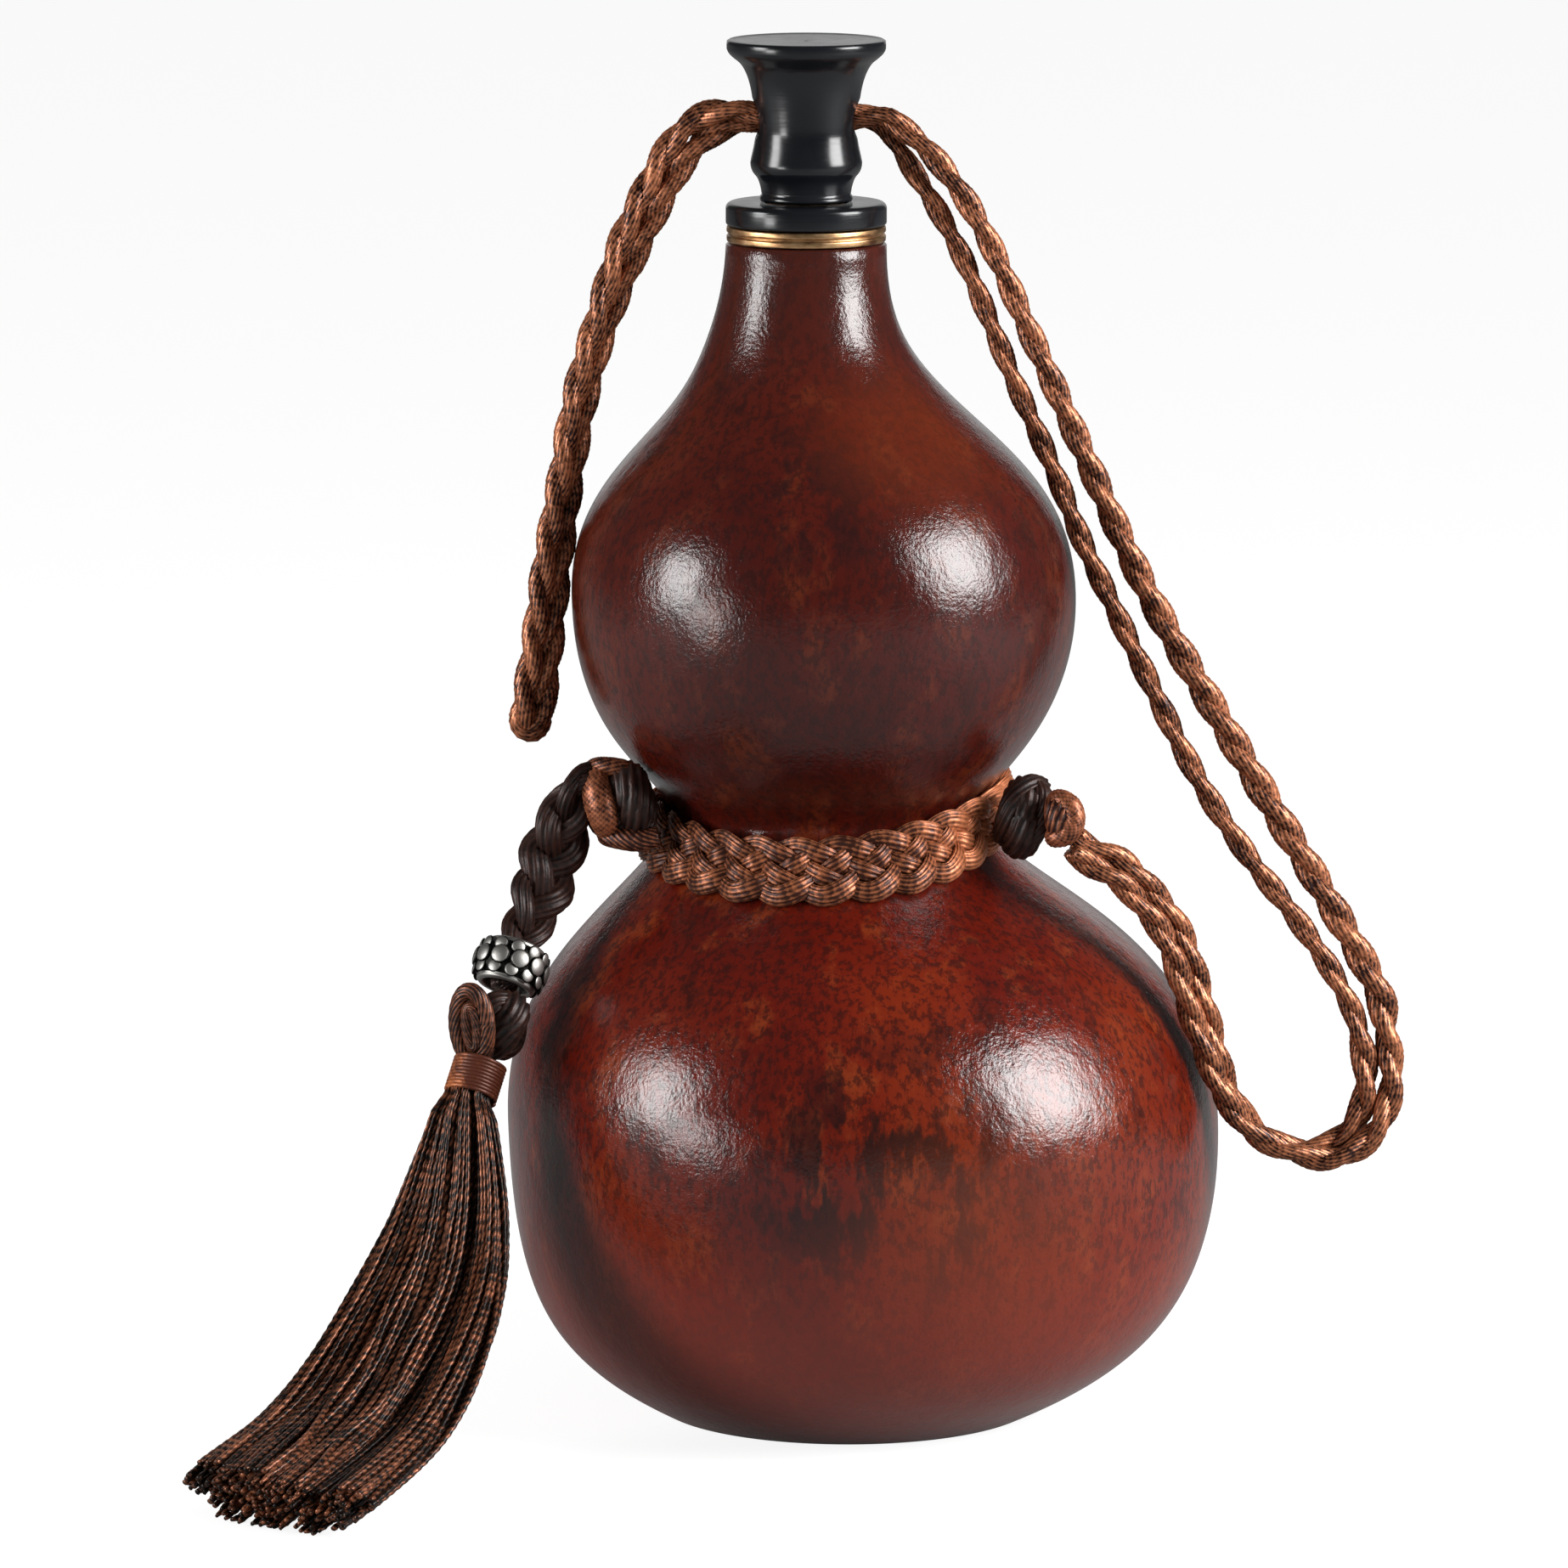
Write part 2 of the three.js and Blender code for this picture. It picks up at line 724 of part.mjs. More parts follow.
function fringe() {
  const route = new THREE.CatmullRomCurve3(asVectors(fringeBend).map((point) => point.add(fringeRoot)));
  const neckShare = (bindingLength + touchGap) / route.getLength();
  const skirt = new THREE.CylinderGeometry(1, 1, 1, 4 * fringeFlutes, 10);
  const point = skirt.attributes.position;
  for (let i = 0; i < point.count; i += 1) {
    const around = Math.atan2(point.getZ(i), point.getX(i));
    const row = (0.5 - point.getY(i)) ** neckCrowding;
    const share = row * (1 - tipRounding * Math.cos(around) ** 2);
    const reach = Math.hypot(point.getX(i), point.getZ(i));
    const opening = THREE.MathUtils.clamp((share - neckShare) / (fullWidthShare - neckShare), 0, 1);
    const spread = 1 - (1 - opening) ** 2;
    const flute = 1 + fluteDepth * spread * Math.cos(fringeFlutes * around);
    const halfWidth = THREE.MathUtils.lerp(fringeNeckRadius, fringeWidth / 2, spread) * flute * reach;
    const halfThickness = THREE.MathUtils.lerp(fringeNeckRadius, fringeThickness / 2, spread) * flute * reach;
    const along = route.getTangentAt(share);
    const side = new THREE.Vector3(along.y, -along.x, 0).normalize();
    const face = new THREE.Vector3().crossVectors(side, along);
    const place = route.getPointAt(share);
    place.addScaledVector(side, halfWidth * Math.cos(around));
    place.addScaledVector(face, halfThickness * Math.sin(around));
    point.setXYZ(i, place.x, place.y, Math.max(place.z, tableGap));
  }
  return skirt;
}

addPiece(bottle, "tassel_fringe", fringe(), darkCord);

export default bottle;
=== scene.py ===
import math
import random

import bpy
import numpy as np
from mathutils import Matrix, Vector


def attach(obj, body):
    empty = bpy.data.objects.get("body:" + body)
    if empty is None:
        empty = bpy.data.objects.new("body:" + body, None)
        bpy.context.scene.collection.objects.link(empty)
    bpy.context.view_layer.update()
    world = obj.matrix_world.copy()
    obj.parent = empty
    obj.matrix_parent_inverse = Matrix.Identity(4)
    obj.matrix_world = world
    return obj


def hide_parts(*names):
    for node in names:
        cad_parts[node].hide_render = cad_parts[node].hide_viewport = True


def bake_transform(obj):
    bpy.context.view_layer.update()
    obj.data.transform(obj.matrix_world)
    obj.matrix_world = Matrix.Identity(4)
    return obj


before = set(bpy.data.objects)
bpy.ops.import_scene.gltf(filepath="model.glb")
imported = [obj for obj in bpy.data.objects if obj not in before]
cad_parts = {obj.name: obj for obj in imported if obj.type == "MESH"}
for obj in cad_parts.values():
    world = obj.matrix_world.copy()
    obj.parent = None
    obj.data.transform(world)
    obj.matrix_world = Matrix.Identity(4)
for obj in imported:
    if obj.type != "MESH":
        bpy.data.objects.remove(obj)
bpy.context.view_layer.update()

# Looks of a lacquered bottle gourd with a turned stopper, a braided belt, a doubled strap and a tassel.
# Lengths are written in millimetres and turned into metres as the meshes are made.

MM = 0.001
scene = bpy.context.scene
shuffle = random.Random(12)


# Camera: on the photo's line of sight, in metres and degrees

field_of_view = 9.52
camera_tilt = 9.51
camera_data = bpy.data.cameras.new("camera")
camera_data.angle = math.radians(field_of_view)
camera_data.clip_start = 0.05
camera_data.clip_end = 10
camera = bpy.data.objects.new("camera", camera_data)
camera.location = (-0.0114, -1.35, 0.318)
camera.rotation_euler = (math.radians(90 - camera_tilt), 0, 0)
scene.collection.objects.link(camera)
scene.camera = camera


# Lines in space

def unit(vectors):
    return vectors / np.linalg.norm(vectors, axis=-1, keepdims=True)


def smooth_line(points, spacing):
    """Points a given distance apart on a centripetal Catmull-Rom curve through the given points. Columns
    after the third, such as a radius, are carried along."""
    points = np.array(points, float)
    ends = np.vstack([2 * points[0] - points[1], points, 2 * points[-1] - points[-2]])
    dense = []
    for i in range(1, len(ends) - 2):
        p0, p1, p2, p3 = ends[i - 1:i + 3]
        t1 = np.linalg.norm(p1 - p0) ** 0.5
        t2 = t1 + np.linalg.norm(p2 - p1) ** 0.5
        t3 = t2 + np.linalg.norm(p3 - p2) ** 0.5
        t = np.linspace(t1, t2, 40, endpoint=False)[:, None]
        a1 = (t1 - t) / t1 * p0 + t / t1 * p1
        a2 = (t2 - t) / (t2 - t1) * p1 + (t - t1) / (t2 - t1) * p2
        a3 = (t3 - t) / (t3 - t2) * p2 + (t - t2) / (t3 - t2) * p3
        b1 = (t2 - t) / t2 * a1 + t / t2 * a2
        b2 = (t3 - t) / (t3 - t1) * a2 + (t - t1) / (t3 - t1) * a3
        dense.append((t2 - t) / (t2 - t1) * b1 + (t - t1) / (t2 - t1) * b2)
    dense.append(points[-1:])
    return evenly(np.vstack(dense), spacing)


def lengths_along(line):
    return np.concatenate([[0], np.cumsum(np.linalg.norm(np.diff(line[:, :3], axis=0), axis=1))])


def evenly(line, spacing):
    along = lengths_along(line)
    steps = np.linspace(0, along[-1], max(2, round(along[-1] / spacing) + 1))
    return np.stack([np.interp(steps, along, column) for column in line.T], 1)


def tangents(line, closed=False):
    if closed:
        return unit(np.roll(line, -1, 0) - np.roll(line, 1, 0))
    return unit(np.gradient(line, axis=0))


def sides_of(line, first, closed=False):
    """Directions square to a line that turn with it as little as possible, starting near first."""
    along = tangents(line, closed)
    side = np.array(first, float)
    sides = []
    for direction in along:
        side = side - direction * side.dot(direction)
        side = side / np.linalg.norm(side)
        sides.append(side)
    return np.array(sides)


# Meshes

marks_name = "surface_marks"


def add_mesh(name, points, faces, material, body, replaced=(), marks=None):
    """A smooth mesh from points in millimetres. marks are three numbers a point for its material."""
    mesh = bpy.data.meshes.new(name)
    mesh.from_pydata((np.asarray(points) * MM).tolist(), [], [list(face) for face in faces])
    mesh.validate()
    mesh.polygons.foreach_set("use_smooth", [True] * len(mesh.polygons))
    if marks is not None:
        layer = mesh.attributes.new(marks_name, "FLOAT_VECTOR", "POINT")
        layer.data.foreach_set("vector", np.asarray(marks, np.float32).ravel())
    mesh.materials.append(material)
    mesh.update()
    piece = bpy.data.objects.new(name, mesh)
    scene.collection.objects.link(piece)
    if body:
        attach(piece, body)
    if replaced:
        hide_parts(*replaced)
    return piece


def grid_faces(rows, columns, closed_rows=False):
    faces = []
    for i in range(rows if closed_rows else rows - 1):
        for j in range(columns):
            a = i * columns + j
            b = i * columns + (j + 1) % columns
            c = ((i + 1) % rows) * columns + (j + 1) % columns
            d = ((i + 1) % rows) * columns + j
            faces.append((a, b, c, d))
    return faces


class Bundle:
    """Several swept strands that become one mesh."""

    def __init__(self):
        self.points = []
        self.marks = []
        self.faces = []
        self.count = 0

    def sweep(self, line, first_side, width, thickness=None, sides=12, ribs=0, depth=0.0, rib_turns=0.0,
              closed=False, seed=0.0, sides_given=None):
        """Sweeps an oval with ribs along a line. width and thickness are radii, rib_turns the ribs' turns
        per millimetre, each a number or one a point."""
        rows = len(line)
        along = tangents(line, closed)
        side = sides_of(line, first_side, closed) if sides_given is None else sides_given
        across = np.cross(along, side)
        width = np.broadcast_to(np.asarray(width, float), rows)[:, None]
        if thickness is None:
            thickness = width
        else:
            thickness = np.broadcast_to(np.asarray(thickness, float), rows)[:, None]
        angle = np.linspace(0, 2 * math.pi, sides, endpoint=False)[None, :]
        travelled = lengths_along(line)[:, None]
        rate = np.broadcast_to(np.asarray(rib_turns, float), rows)
        wound = np.cumsum(rate * np.gradient(travelled[:, 0]))[:, None]
        turning = ribs * (angle - 2 * math.pi * wound)
        groove = 0.5 - 0.5 * np.cos(turning)
        swell = 1 - depth * groove
        x = width * np.cos(angle) * swell
        y = thickness * np.sin(angle) * swell
        ring = line[:, None, :] + x[..., None] * side[:, None, :] + y[..., None] * across[:, None, :]
        marks = np.stack(np.broadcast_arrays(travelled, groove, np.full((rows, sides), seed)), -1)
        self.points.append(ring.reshape(-1, 3))
        self.marks.append(marks.reshape(-1, 3))
        base = self.count
        self.faces += [tuple(base + k for k in face) for face in grid_faces(rows, sides, closed)]
        self.count += rows * sides
        if not closed:
            for row, turned in ((0, True), (rows - 1, False)):
                self.points.append(line[row][None, :])
                self.marks.append(marks[row, 0][None, :])
                corners = [base + row * sides + j for j in range(sides)]
                for j in range(sides):
                    pair = (corners[j], corners[(j + 1) % sides])
                    self.faces.append((self.count, *(pair[::-1] if turned else pair)))
                self.count += 1

    def piece(self, name, material, body, replaced=(), slot=None):
        return add_mesh(name, np.vstack(self.points), self.faces, material, body, replaced,
                        np.vstack(self.marks))


def twist_lines(line, first_side, offset, pitch, hand):
    """Centre lines of two plies laid round a line, once round in each pitch. hand is 1 or -1 a point."""
    side = sides_of(line, first_side)
    across = np.cross(tangents(line), side)
    turn = 2 * math.pi * np.cumsum(hand * np.gradient(lengths_along(line))) / pitch
    offset = np.broadcast_to(np.asarray(offset, float), len(line))[:, None]
    lines = []
    for start in (0, math.pi):
        angle = (turn + start)[:, None]
        lines.append(line + offset * (np.cos(angle) * side + np.sin(angle) * across))
    return lines


# Materials

class Look:
    """The shader nodes of a material or world. Most methods add nodes and return the last one's output."""

    def __init__(self, tree):
        self.nodes = tree.nodes
        self.link = tree.links.new

    def node(self, kind):
        return self.nodes.new("ShaderNode" + kind)

    def feed(self, socket, value):
        """Gives a socket another node's output, or else a number or a colour."""
        if isinstance(value, bpy.types.NodeSocket):
            self.link(value, socket)
        elif isinstance(value, tuple):
            socket.default_value = (*value, 1)
        else:
            socket.default_value = value

    def fill(self, node, inputs):
        """Feeds a node's inputs by name."""
        for name, value in inputs.items():
            self.feed(node.inputs[name], value)

    def stretched(self, upwards):
        """The object's coordinates, heights scaled. A pattern gets taller below 1 and flatter above 1."""
        mapping = self.node("Mapping")
        mapping.inputs["Scale"].default_value = (1, 1, upwards)
        self.link(self.node("TexCoord").outputs["Object"], mapping.inputs["Vector"])
        return mapping.outputs["Vector"]

    def axis(self, name):
        """One of the object's coordinates, in metres."""
        separate = self.node("SeparateXYZ")
        self.link(self.node("TexCoord").outputs["Object"], separate.inputs[0])
        return separate.outputs[name]

    def marks(self):
        """The three numbers that add_mesh keeps at each point."""
        attribute = self.node("Attribute")
        attribute.attribute_name = marks_name
        separate = self.node("SeparateXYZ")
        self.link(attribute.outputs["Vector"], separate.inputs[0])
        return separate.outputs

    def noise(self, place, scale, detail=4.0, roughness=0.5):
        node = self.node("TexNoise")
        self.fill(node, {"Vector": place, "Scale": scale, "Detail": detail, "Roughness": roughness})
        return node.outputs["Fac"]

    def math(self, kind, *values):
        node = self.node("Math")
        node.operation = kind
        for socket, value in zip(node.inputs, values):
            self.feed(socket, value)
        return node.outputs[0]

    def map_range(self, value, low, high, to_low=0.0, to_high=1.0, smooth=True):
        node = self.node("MapRange")
        node.interpolation_type = "SMOOTHSTEP" if smooth else "LINEAR"
        self.fill(node, {
            "Value": value, "From Min": low, "From Max": high, "To Min": to_low, "To Max": to_high,
        })
        return node.outputs["Result"]

    def spot(self, centre, reach):
        """1 at a point of the object, falling to 0 at reach, all in metres."""
        distance = self.node("VectorMath")
        distance.operation = "DISTANCE"
        self.link(self.node("TexCoord").outputs["Object"], distance.inputs[0])
        distance.inputs[1].default_value = centre
        return self.map_range(distance.outputs["Value"], 0.25 * reach, reach, 1.0, 0.0)

    def ramp(self, value, stops):
        node = self.node("ValToRGB")
        elements = node.color_ramp.elements
        elements[0].position, elements[0].color = stops[0][0], (*stops[0][1], 1)
        elements[1].position, elements[1].color = stops[-1][0], (*stops[-1][1], 1)
        for position, colour in stops[1:-1]:
            elements.new(position).color = (*colour, 1)
        self.link(value, node.inputs["Fac"])
        return node.outputs["Color"]

    def mix(self, share, first, second):
        node = self.node("Mix")
        node.data_type = "RGBA"
        self.feed(node.inputs["Factor"], share)
        self.feed(node.inputs[6], first)
        self.feed(node.inputs[7], second)
        return node.outputs[2]

    def bump(self, height, strength, distance, normal=None):
        node = self.node("Bump")
        self.fill(node, {"Height": height, "Strength": strength, "Distance": distance})
        if normal:
            self.link(normal, node.inputs["Normal"])
        return node.outputs["Normal"]


def new_material(name):
    material = bpy.data.materials.new(name)
    material.use_nodes = True
    look = Look(material.node_tree)
    return material, look, look.nodes["Principled BSDF"]


def lacquer_material():
    """Clear lacquer over a dyed shell: red-brown clouds, darker stains and a fine upright grain."""
    material, look, shader = new_material("gourd_lacquer")
    clouds = look.noise(look.stretched(0.5), 24, 4, 0.55)
    blots = look.noise(look.stretched(0.55), 130, 5, 0.65)
    streaks = look.noise(look.stretched(0.32), 210, 4, 0.6)
    grain = look.noise(look.stretched(0.55), 950, 4, 0.7)
    height = look.axis("Z")
    dark = (0.022, 0.004, 0.003)
    colour = look.ramp(clouds, [
        (0.32, (0.064, 0.0040, 0.0018)),
        (0.46, (0.102, 0.0060, 0.0019)),
        (0.57, (0.140, 0.0110, 0.0025)),
        (0.70, (0.185, 0.0220, 0.0042)),
    ])

    # Warm and dark flecks, the dark grain, and the bulb, which took the dye darker than the belly
    for pattern, low, high, share, tint in [
        (blots, 0.52, 0.68, 0.60, (0.235, 0.039, 0.008)),
        (blots, 0.46, 0.32, 0.60, dark),
        (grain, 0.46, 0.60, 0.70, dark),
        (height, 0.070, 0.100, 0.55, (0.026, 0.0060, 0.0045)),
    ]:
        colour = look.mix(look.map_range(pattern, low, high, 0, share), colour, tint)

    # Stains on the belly's front and the bulb, then warm spots on the shoulder and the belly
    patches = look.map_range(streaks, 0.47, 0.57)
    for pattern, centre, reach, share, tint in [
        (patches, (0.004, -0.052, 0.042), 0.030, 0.90, (0.010, 0.004, 0.004)),
        (patches, (-0.008, -0.028, 0.137), 0.019, 0.60, (0.014, 0.005, 0.005)),
        (clouds, (0.006, -0.020, 0.145), 0.020, 0.60, (0.190, 0.030, 0.007)),
        (clouds, (0.016, -0.046, 0.031), 0.030, 0.55, (0.200, 0.036, 0.008)),
        (clouds, (-0.034, -0.040, 0.024), 0.026, 0.50, (0.175, 0.022, 0.006)),
    ]:
        mask = look.math("MULTIPLY", look.spot(centre, reach), share)
        colour = look.mix(look.math("MULTIPLY", mask, pattern), colour, tint)

    # The neck is darker still, and the belly's foot paler: painted reflection and bounce light of the pale
    # floor
    for low, high, share, tint in [
        (0.146, 0.166, 0.60, (0.045, 0.011, 0.008)),
        # Painted light: paler and redder towards the bottom, standing in for the floor's reflection and
        # bounce light
        (0.042, 0.002, 0.70, (0.300, 0.048, 0.030)),
    ]:
        colour = look.mix(look.map_range(height, low, high, 0, share), colour, tint)

    pits = look.noise(look.stretched(0.7), 320, 3, 0.5)
    whorls = look.noise(look.stretched(1), 1800, 3, 0.6)
    normal = look.bump(whorls, 0.42, 0.00018, look.bump(pits, 0.24, 0.0006))
    look.fill(shader, {
        "Base Color": colour,
        "Roughness": 0.38,
        "Specular IOR Level": 0.04,
        "Coat Weight": 1.0,
        "Coat IOR": 1.5,
        "Coat Roughness": look.map_range(blots, 0.3, 0.7, 0.10, 0.17),
        "Normal": normal,
        "Coat Normal": normal,
    })
    return material


def resin_material():
    """Black turned resin with a faint blue cast, polished, with fine lathe marks."""
    material, look, shader = new_material("black_resin")
    cloud = look.noise(look.stretched(1), 90, 3)
    scuffs = look.noise(look.stretched(6), 420, 4)
    lathe_marks = look.noise(look.stretched(40), 60, 2)
    look.fill(shader, {
        "Base Color": look.ramp(cloud, [(0.35, (0.0040, 0.0048, 0.0062)), (0.70, (0.0080, 0.0090, 0.0112))]),
        "Roughness": look.map_range(scuffs, 0, 1, 0.14, 0.28, smooth=False),
        "Normal": look.bump(lathe_marks, 0.06, 0.0002),
    })
    return material


def brass_material():
    """Soft worn brass, warm, with fine turning lines and tarnish."""
    material, look, shader = new_material("brass_ring")
    tarnish = look.noise(look.stretched(3), 260, 5, 0.65)
    turning_lines = look.noise(look.stretched(60), 60, 2)
    shades = [(0.34, (0.24, 0.12, 0.06)), (0.50, (0.55, 0.33, 0.16)), (0.72, (0.80, 0.54, 0.30))]
    look.fill(shader, {
        "Base Color": look.ramp(tarnish, shades),
        "Metallic": 1.0,
        "Roughness": look.map_range(tarnish, 0, 1, 0.24, 0.44, smooth=False),
        "Normal": look.bump(turning_lines, 0.15, 0.0002),
    })
    return material


def cork_material():
    material, look, shader = new_material("cork_grain")
    grain = look.noise(look.stretched(1), 700, 5, 0.6)
    shades = [(0.33, (0.12, 0.055, 0.022)), (0.46, (0.40, 0.22, 0.10)), (0.70, (0.55, 0.34, 0.17))]
    look.fill(shader, {
        "Base Color": look.ramp(grain, shades),
        "Roughness": 0.85,
        "Normal": look.bump(grain, 0.5, 0.0004),
    })
    return material


def cord_material(name, dark, light, metallic, roughness, contrast=1.0, tip_highlight=0.0, painted_side_light=None):
    """Satin thread: painted shade in the grooves, painted light and shade of the twist as dashes, no two
    stretches alike.
    tip_highlight is the painted highlight towards a fringe's ends; painted_side_light gives two places along
    x and the brightness added at each, painted light above 0 and painted shade below 0."""
    dash_length = 1.3
    tips_begin = 58
    tips_end = 84
    material, look, shader = new_material(name)
    along, groove, seed = look.marks()
    blotch = look.noise(look.stretched(1), 380, 4, 0.65)
    # Painted shade: the colour darkens in the grooves between threads and plies
    shade = look.math("MULTIPLY_ADD", groove, -0.55 * contrast, look.math("ADD", blotch, 0.22))
    # Painted light and shade of the twist: each single thread shows short lighter and darker dashes, shifted
    # from place to place
    shift = look.math("MULTIPLY", blotch, 20)
    beat = look.math("MULTIPLY_ADD", along, 2 * math.pi / dash_length, shift)
    painted_twist_light = look.math("MULTIPLY", look.math("SINE", beat), 0.10)
    shade = look.math("SUBTRACT", look.math("ADD", shade, painted_twist_light), 0.175 * contrast)
    shade = look.math("MULTIPLY_ADD", seed, 0.35 * contrast, shade)
    # Painted highlight: a fringe's threads grow lighter towards their ends
    if tip_highlight:
        painted_tip_highlight = look.map_range(along, tips_begin, tips_end, 0, tip_highlight)
        painted_tip_highlight = look.math("MULTIPLY", painted_tip_highlight, look.math("ADD", seed, 0.6))
        shade = look.math("ADD", shade, painted_tip_highlight)
    # Painted light and shade from one side to the other along x
    if painted_side_light:
        shade = look.math("ADD", shade, look.map_range(look.axis("X"), *painted_side_light))
    fuzz = look.noise(look.stretched(1), 1500, 3)
    look.fill(shader, {
        "Base Color": look.ramp(shade, [(0.22, dark), (0.78, light)]),
        "Metallic": metallic,
        "Roughness": roughness,
        "Sheen Weight": 0.08,
        "Sheen Roughness": 0.4,
        "Sheen Tint": (0.75, 0.42, 0.28),
        "Normal": look.bump(fuzz, 0.45, 0.00012),
    })
    return material


def silver_material():
    """Antique silver: bright on the high spots, nearly black in the hollows. The second mark of a point is 0
    on the top of a granule and 1 in the hollows."""
    material, look, shader = new_material("antique_silver")
    wear = look.map_range(look.marks()["Y"], 0.9, 0.3)
    stain = look.noise(look.stretched(1), 900, 4)
    bright = look.math("MULTIPLY_ADD", stain, 0.5, wear)
    look.fill(shader, {
        "Base Color": look.ramp(bright, [(0.85, (0.012, 0.012, 0.011)), (1.0, (0.36, 0.35, 0.33))]),
        "Metallic": 1.0,
        "Roughness": 0.46,
        "Normal": look.bump(stain, 0.15, 0.0002),
    })
    return material


lacquer = lacquer_material()
resin = resin_material()
brass = brass_material()
cork = cork_material()
silver = silver_material()

# Threads: dark and light colour, metallic, roughness and contrast
strap_thread = cord_material("strap_thread", (0.018, 0.004, 0.003), (0.60, 0.215, 0.100), 0.50, 0.36)
# Belt: painted light and shade, darker on its left and lighter on its right
belt_thread = cord_material("belt_thread", (0.040, 0.009, 0.004), (0.60, 0.195, 0.080), 0.45, 0.40, 0.6,
                            painted_side_light=(0.004, 0.026, -0.24, 0.40))
# Near-black thread: painted shade where the knots and the hanger lie in shade
knot_thread_painted_shade = cord_material("knot_thread_painted_shade", (0.003, 0.002, 0.002), (0.040, 0.013, 0.008), 0.25, 0.45, 0.6)
wrap_thread = cord_material("wrap_thread", (0.026, 0.006, 0.004), (0.46, 0.150, 0.068), 0.45, 0.40)
coil_thread = cord_material("coil_thread", (0.012, 0.004, 0.003), (0.26, 0.085, 0.040), 0.40, 0.42)
# Binding: a painted shadow darkens its right side
binding_satin = cord_material("binding_satin", (0.090, 0.020, 0.008), (0.50, 0.150, 0.048), 0.30, 0.42,
                              painted_side_light=(-0.0605, -0.0555, 0.0, -0.60))
# The fringe's threads carry a painted highlight towards their ends
fringe_thread = cord_material("fringe_thread", (0.006, 0.003, 0.002), (0.36, 0.120, 0.055), 0.45, 0.38, 0.7,
                              tip_highlight=0.26)


# Strap: one twisted cord, doubled. It leaves the button knot, loops low on the right, splits into two
# strands up to the stopper, passes through it and folds at its hanging end.

cord_pitch = 14.5
hole_height = 188.9

lower_loop = [
    (30.1, -20.2, 86.4), (32.9, -19.3, 84.5), (37.0, -18.8, 82.3), (40.7, -17.8, 78.3), (43.5, -17.2, 74.6),
    (45.5, -17, 70.6), (46.8, -16.8, 66.5), (48.0, -16.8, 62.4), (49.3, -16.8, 58.3), (50.6, -16.8, 54.3),
    (52, -16.6, 50.4), (54.1, -16.2, 46.7), (57.3, -15.7, 43.1), (61.8, -15.2, 40.8), (66.9, -14.7, 40.2),
    (71.1, -14.2, 42.1), (73.8, -13.6, 45.9), (74.7, -13, 50.5), (74.4, -12.6, 54.4), (73.7, -12.3, 57.5),
]
outer_strand = [
    (75.55, -11.8, 58.7), (74.95, -11.7, 62.4), (72.85, -11.5, 66.8), (68.75, -10.8, 74.1),
    (64.05, -10.2, 82), (59.25, -9.6, 89.8), (54.55, -9, 97.7), (49.85, -8.5, 105.6), (45.25, -8, 113.4),
    (40.95, -7.4, 121.2), (37.15, -6.8, 129.1), (33.65, -6.3, 136.9), (30.15, -5.8, 144.7),
    (26.65, -5.2, 152.5), (23.05, -4.6, 160.3), (19.65, -4, 168.1), (15.7, -3.4, 175.8), (13.1, -3, 179.7),
    (10.3, -2.6, 183.3), (7.2, -2.2, 186.4), (4.6, -1.9, 188.3), (3.2, -1.75, 189.3),
]
inner_strand = [
    (71.6, -12.3, 58.6), (70, -12.2, 62.4), (67.5, -12, 66.9), (62.5, -11.2, 74.2), (56.4, -10.4, 82),
    (51, -9.4, 89.8), (46.5, -8.6, 97.6), (42.6, -8, 105.5), (38.8, -7.4, 113.3), (35, -6.8, 121.2),
    (31.3, -6.2, 129), (28.2, -5.6, 136.8), (24.8, -5, 144.6), (21.3, -4.4, 152.4), (18.1, -3.8, 160.2),
    (14.8, -3, 168), (10.9, -1.8, 175.4), (8.5, -0.6, 179.2), (6.1, 0.6, 182.9), (4.3, 1.2, 185.8),
    (3.2, 1.3, 187.4),
]
left_fall = [
    (1.3, 0, hole_height), (-2.5, 0, hole_height), (-8.2, 0, hole_height), (-14, 0, hole_height),
    (-18.6, 0, hole_height), (-21.8, 0, 188.2), (-24.6, 0, 186.3), (-26.9, 0, 183.6), (-29.2, 0, 179.6),
    (-31.3, 0, 175.5), (-33.3, 0, 171.3), (-35.2, 0, 166.6), (-38, 0, 158.4), (-40.1, 0, 151.4),
    (-41.7, 0, 144), (-42.9, 0, 137), (-44, 0, 130.2), (-45.1, 0, 123.1), (-46, 0, 115.9),
    (-46.8, 0, 109.7), (-47.5, 0, 105.2), (-48.0, 0, 101.4),
]

# The fold's points, each with its radius
fold = [(-49.1, 0, 100.4, 1.95), (-48.1, 0, 99.9, 1.95), (-47.1, 0, 100.4, 1.95)]

# How the pair lies: point of the route, roll in degrees, half the pair's spacing, radius of a strand
loop_lay = [
    (0, -50, 1.30, 1.75), (2, -28, 1.40, 1.85), (7, -35, 1.40, 1.90), (10, -72, 1.45, 1.90),
    (13, -90, 1.50, 1.72), (15, -40, 1.70, 1.85), (17, 0, 1.87, 1.95), (19, 0, 1.92, 1.95),
]
fall_lay = [
    (0, -61, 1.38, 1.45), (3, -61, 1.38, 1.45), (4, -40, 1.50, 1.80), (5, -14, 1.52, 1.94),
    (6, -8, 1.56, 1.97), (8, -8, 1.50, 1.98), (10, -15, 1.44, 1.96), (11, -30, 1.40, 1.90),
    (12, -50, 1.35, 1.88), (15, -50, 1.32, 1.90), (17, -35, 1.32, 1.96), (19, -25, 1.36, 2.02),
    (21, -18, 1.44, 2.06),
]


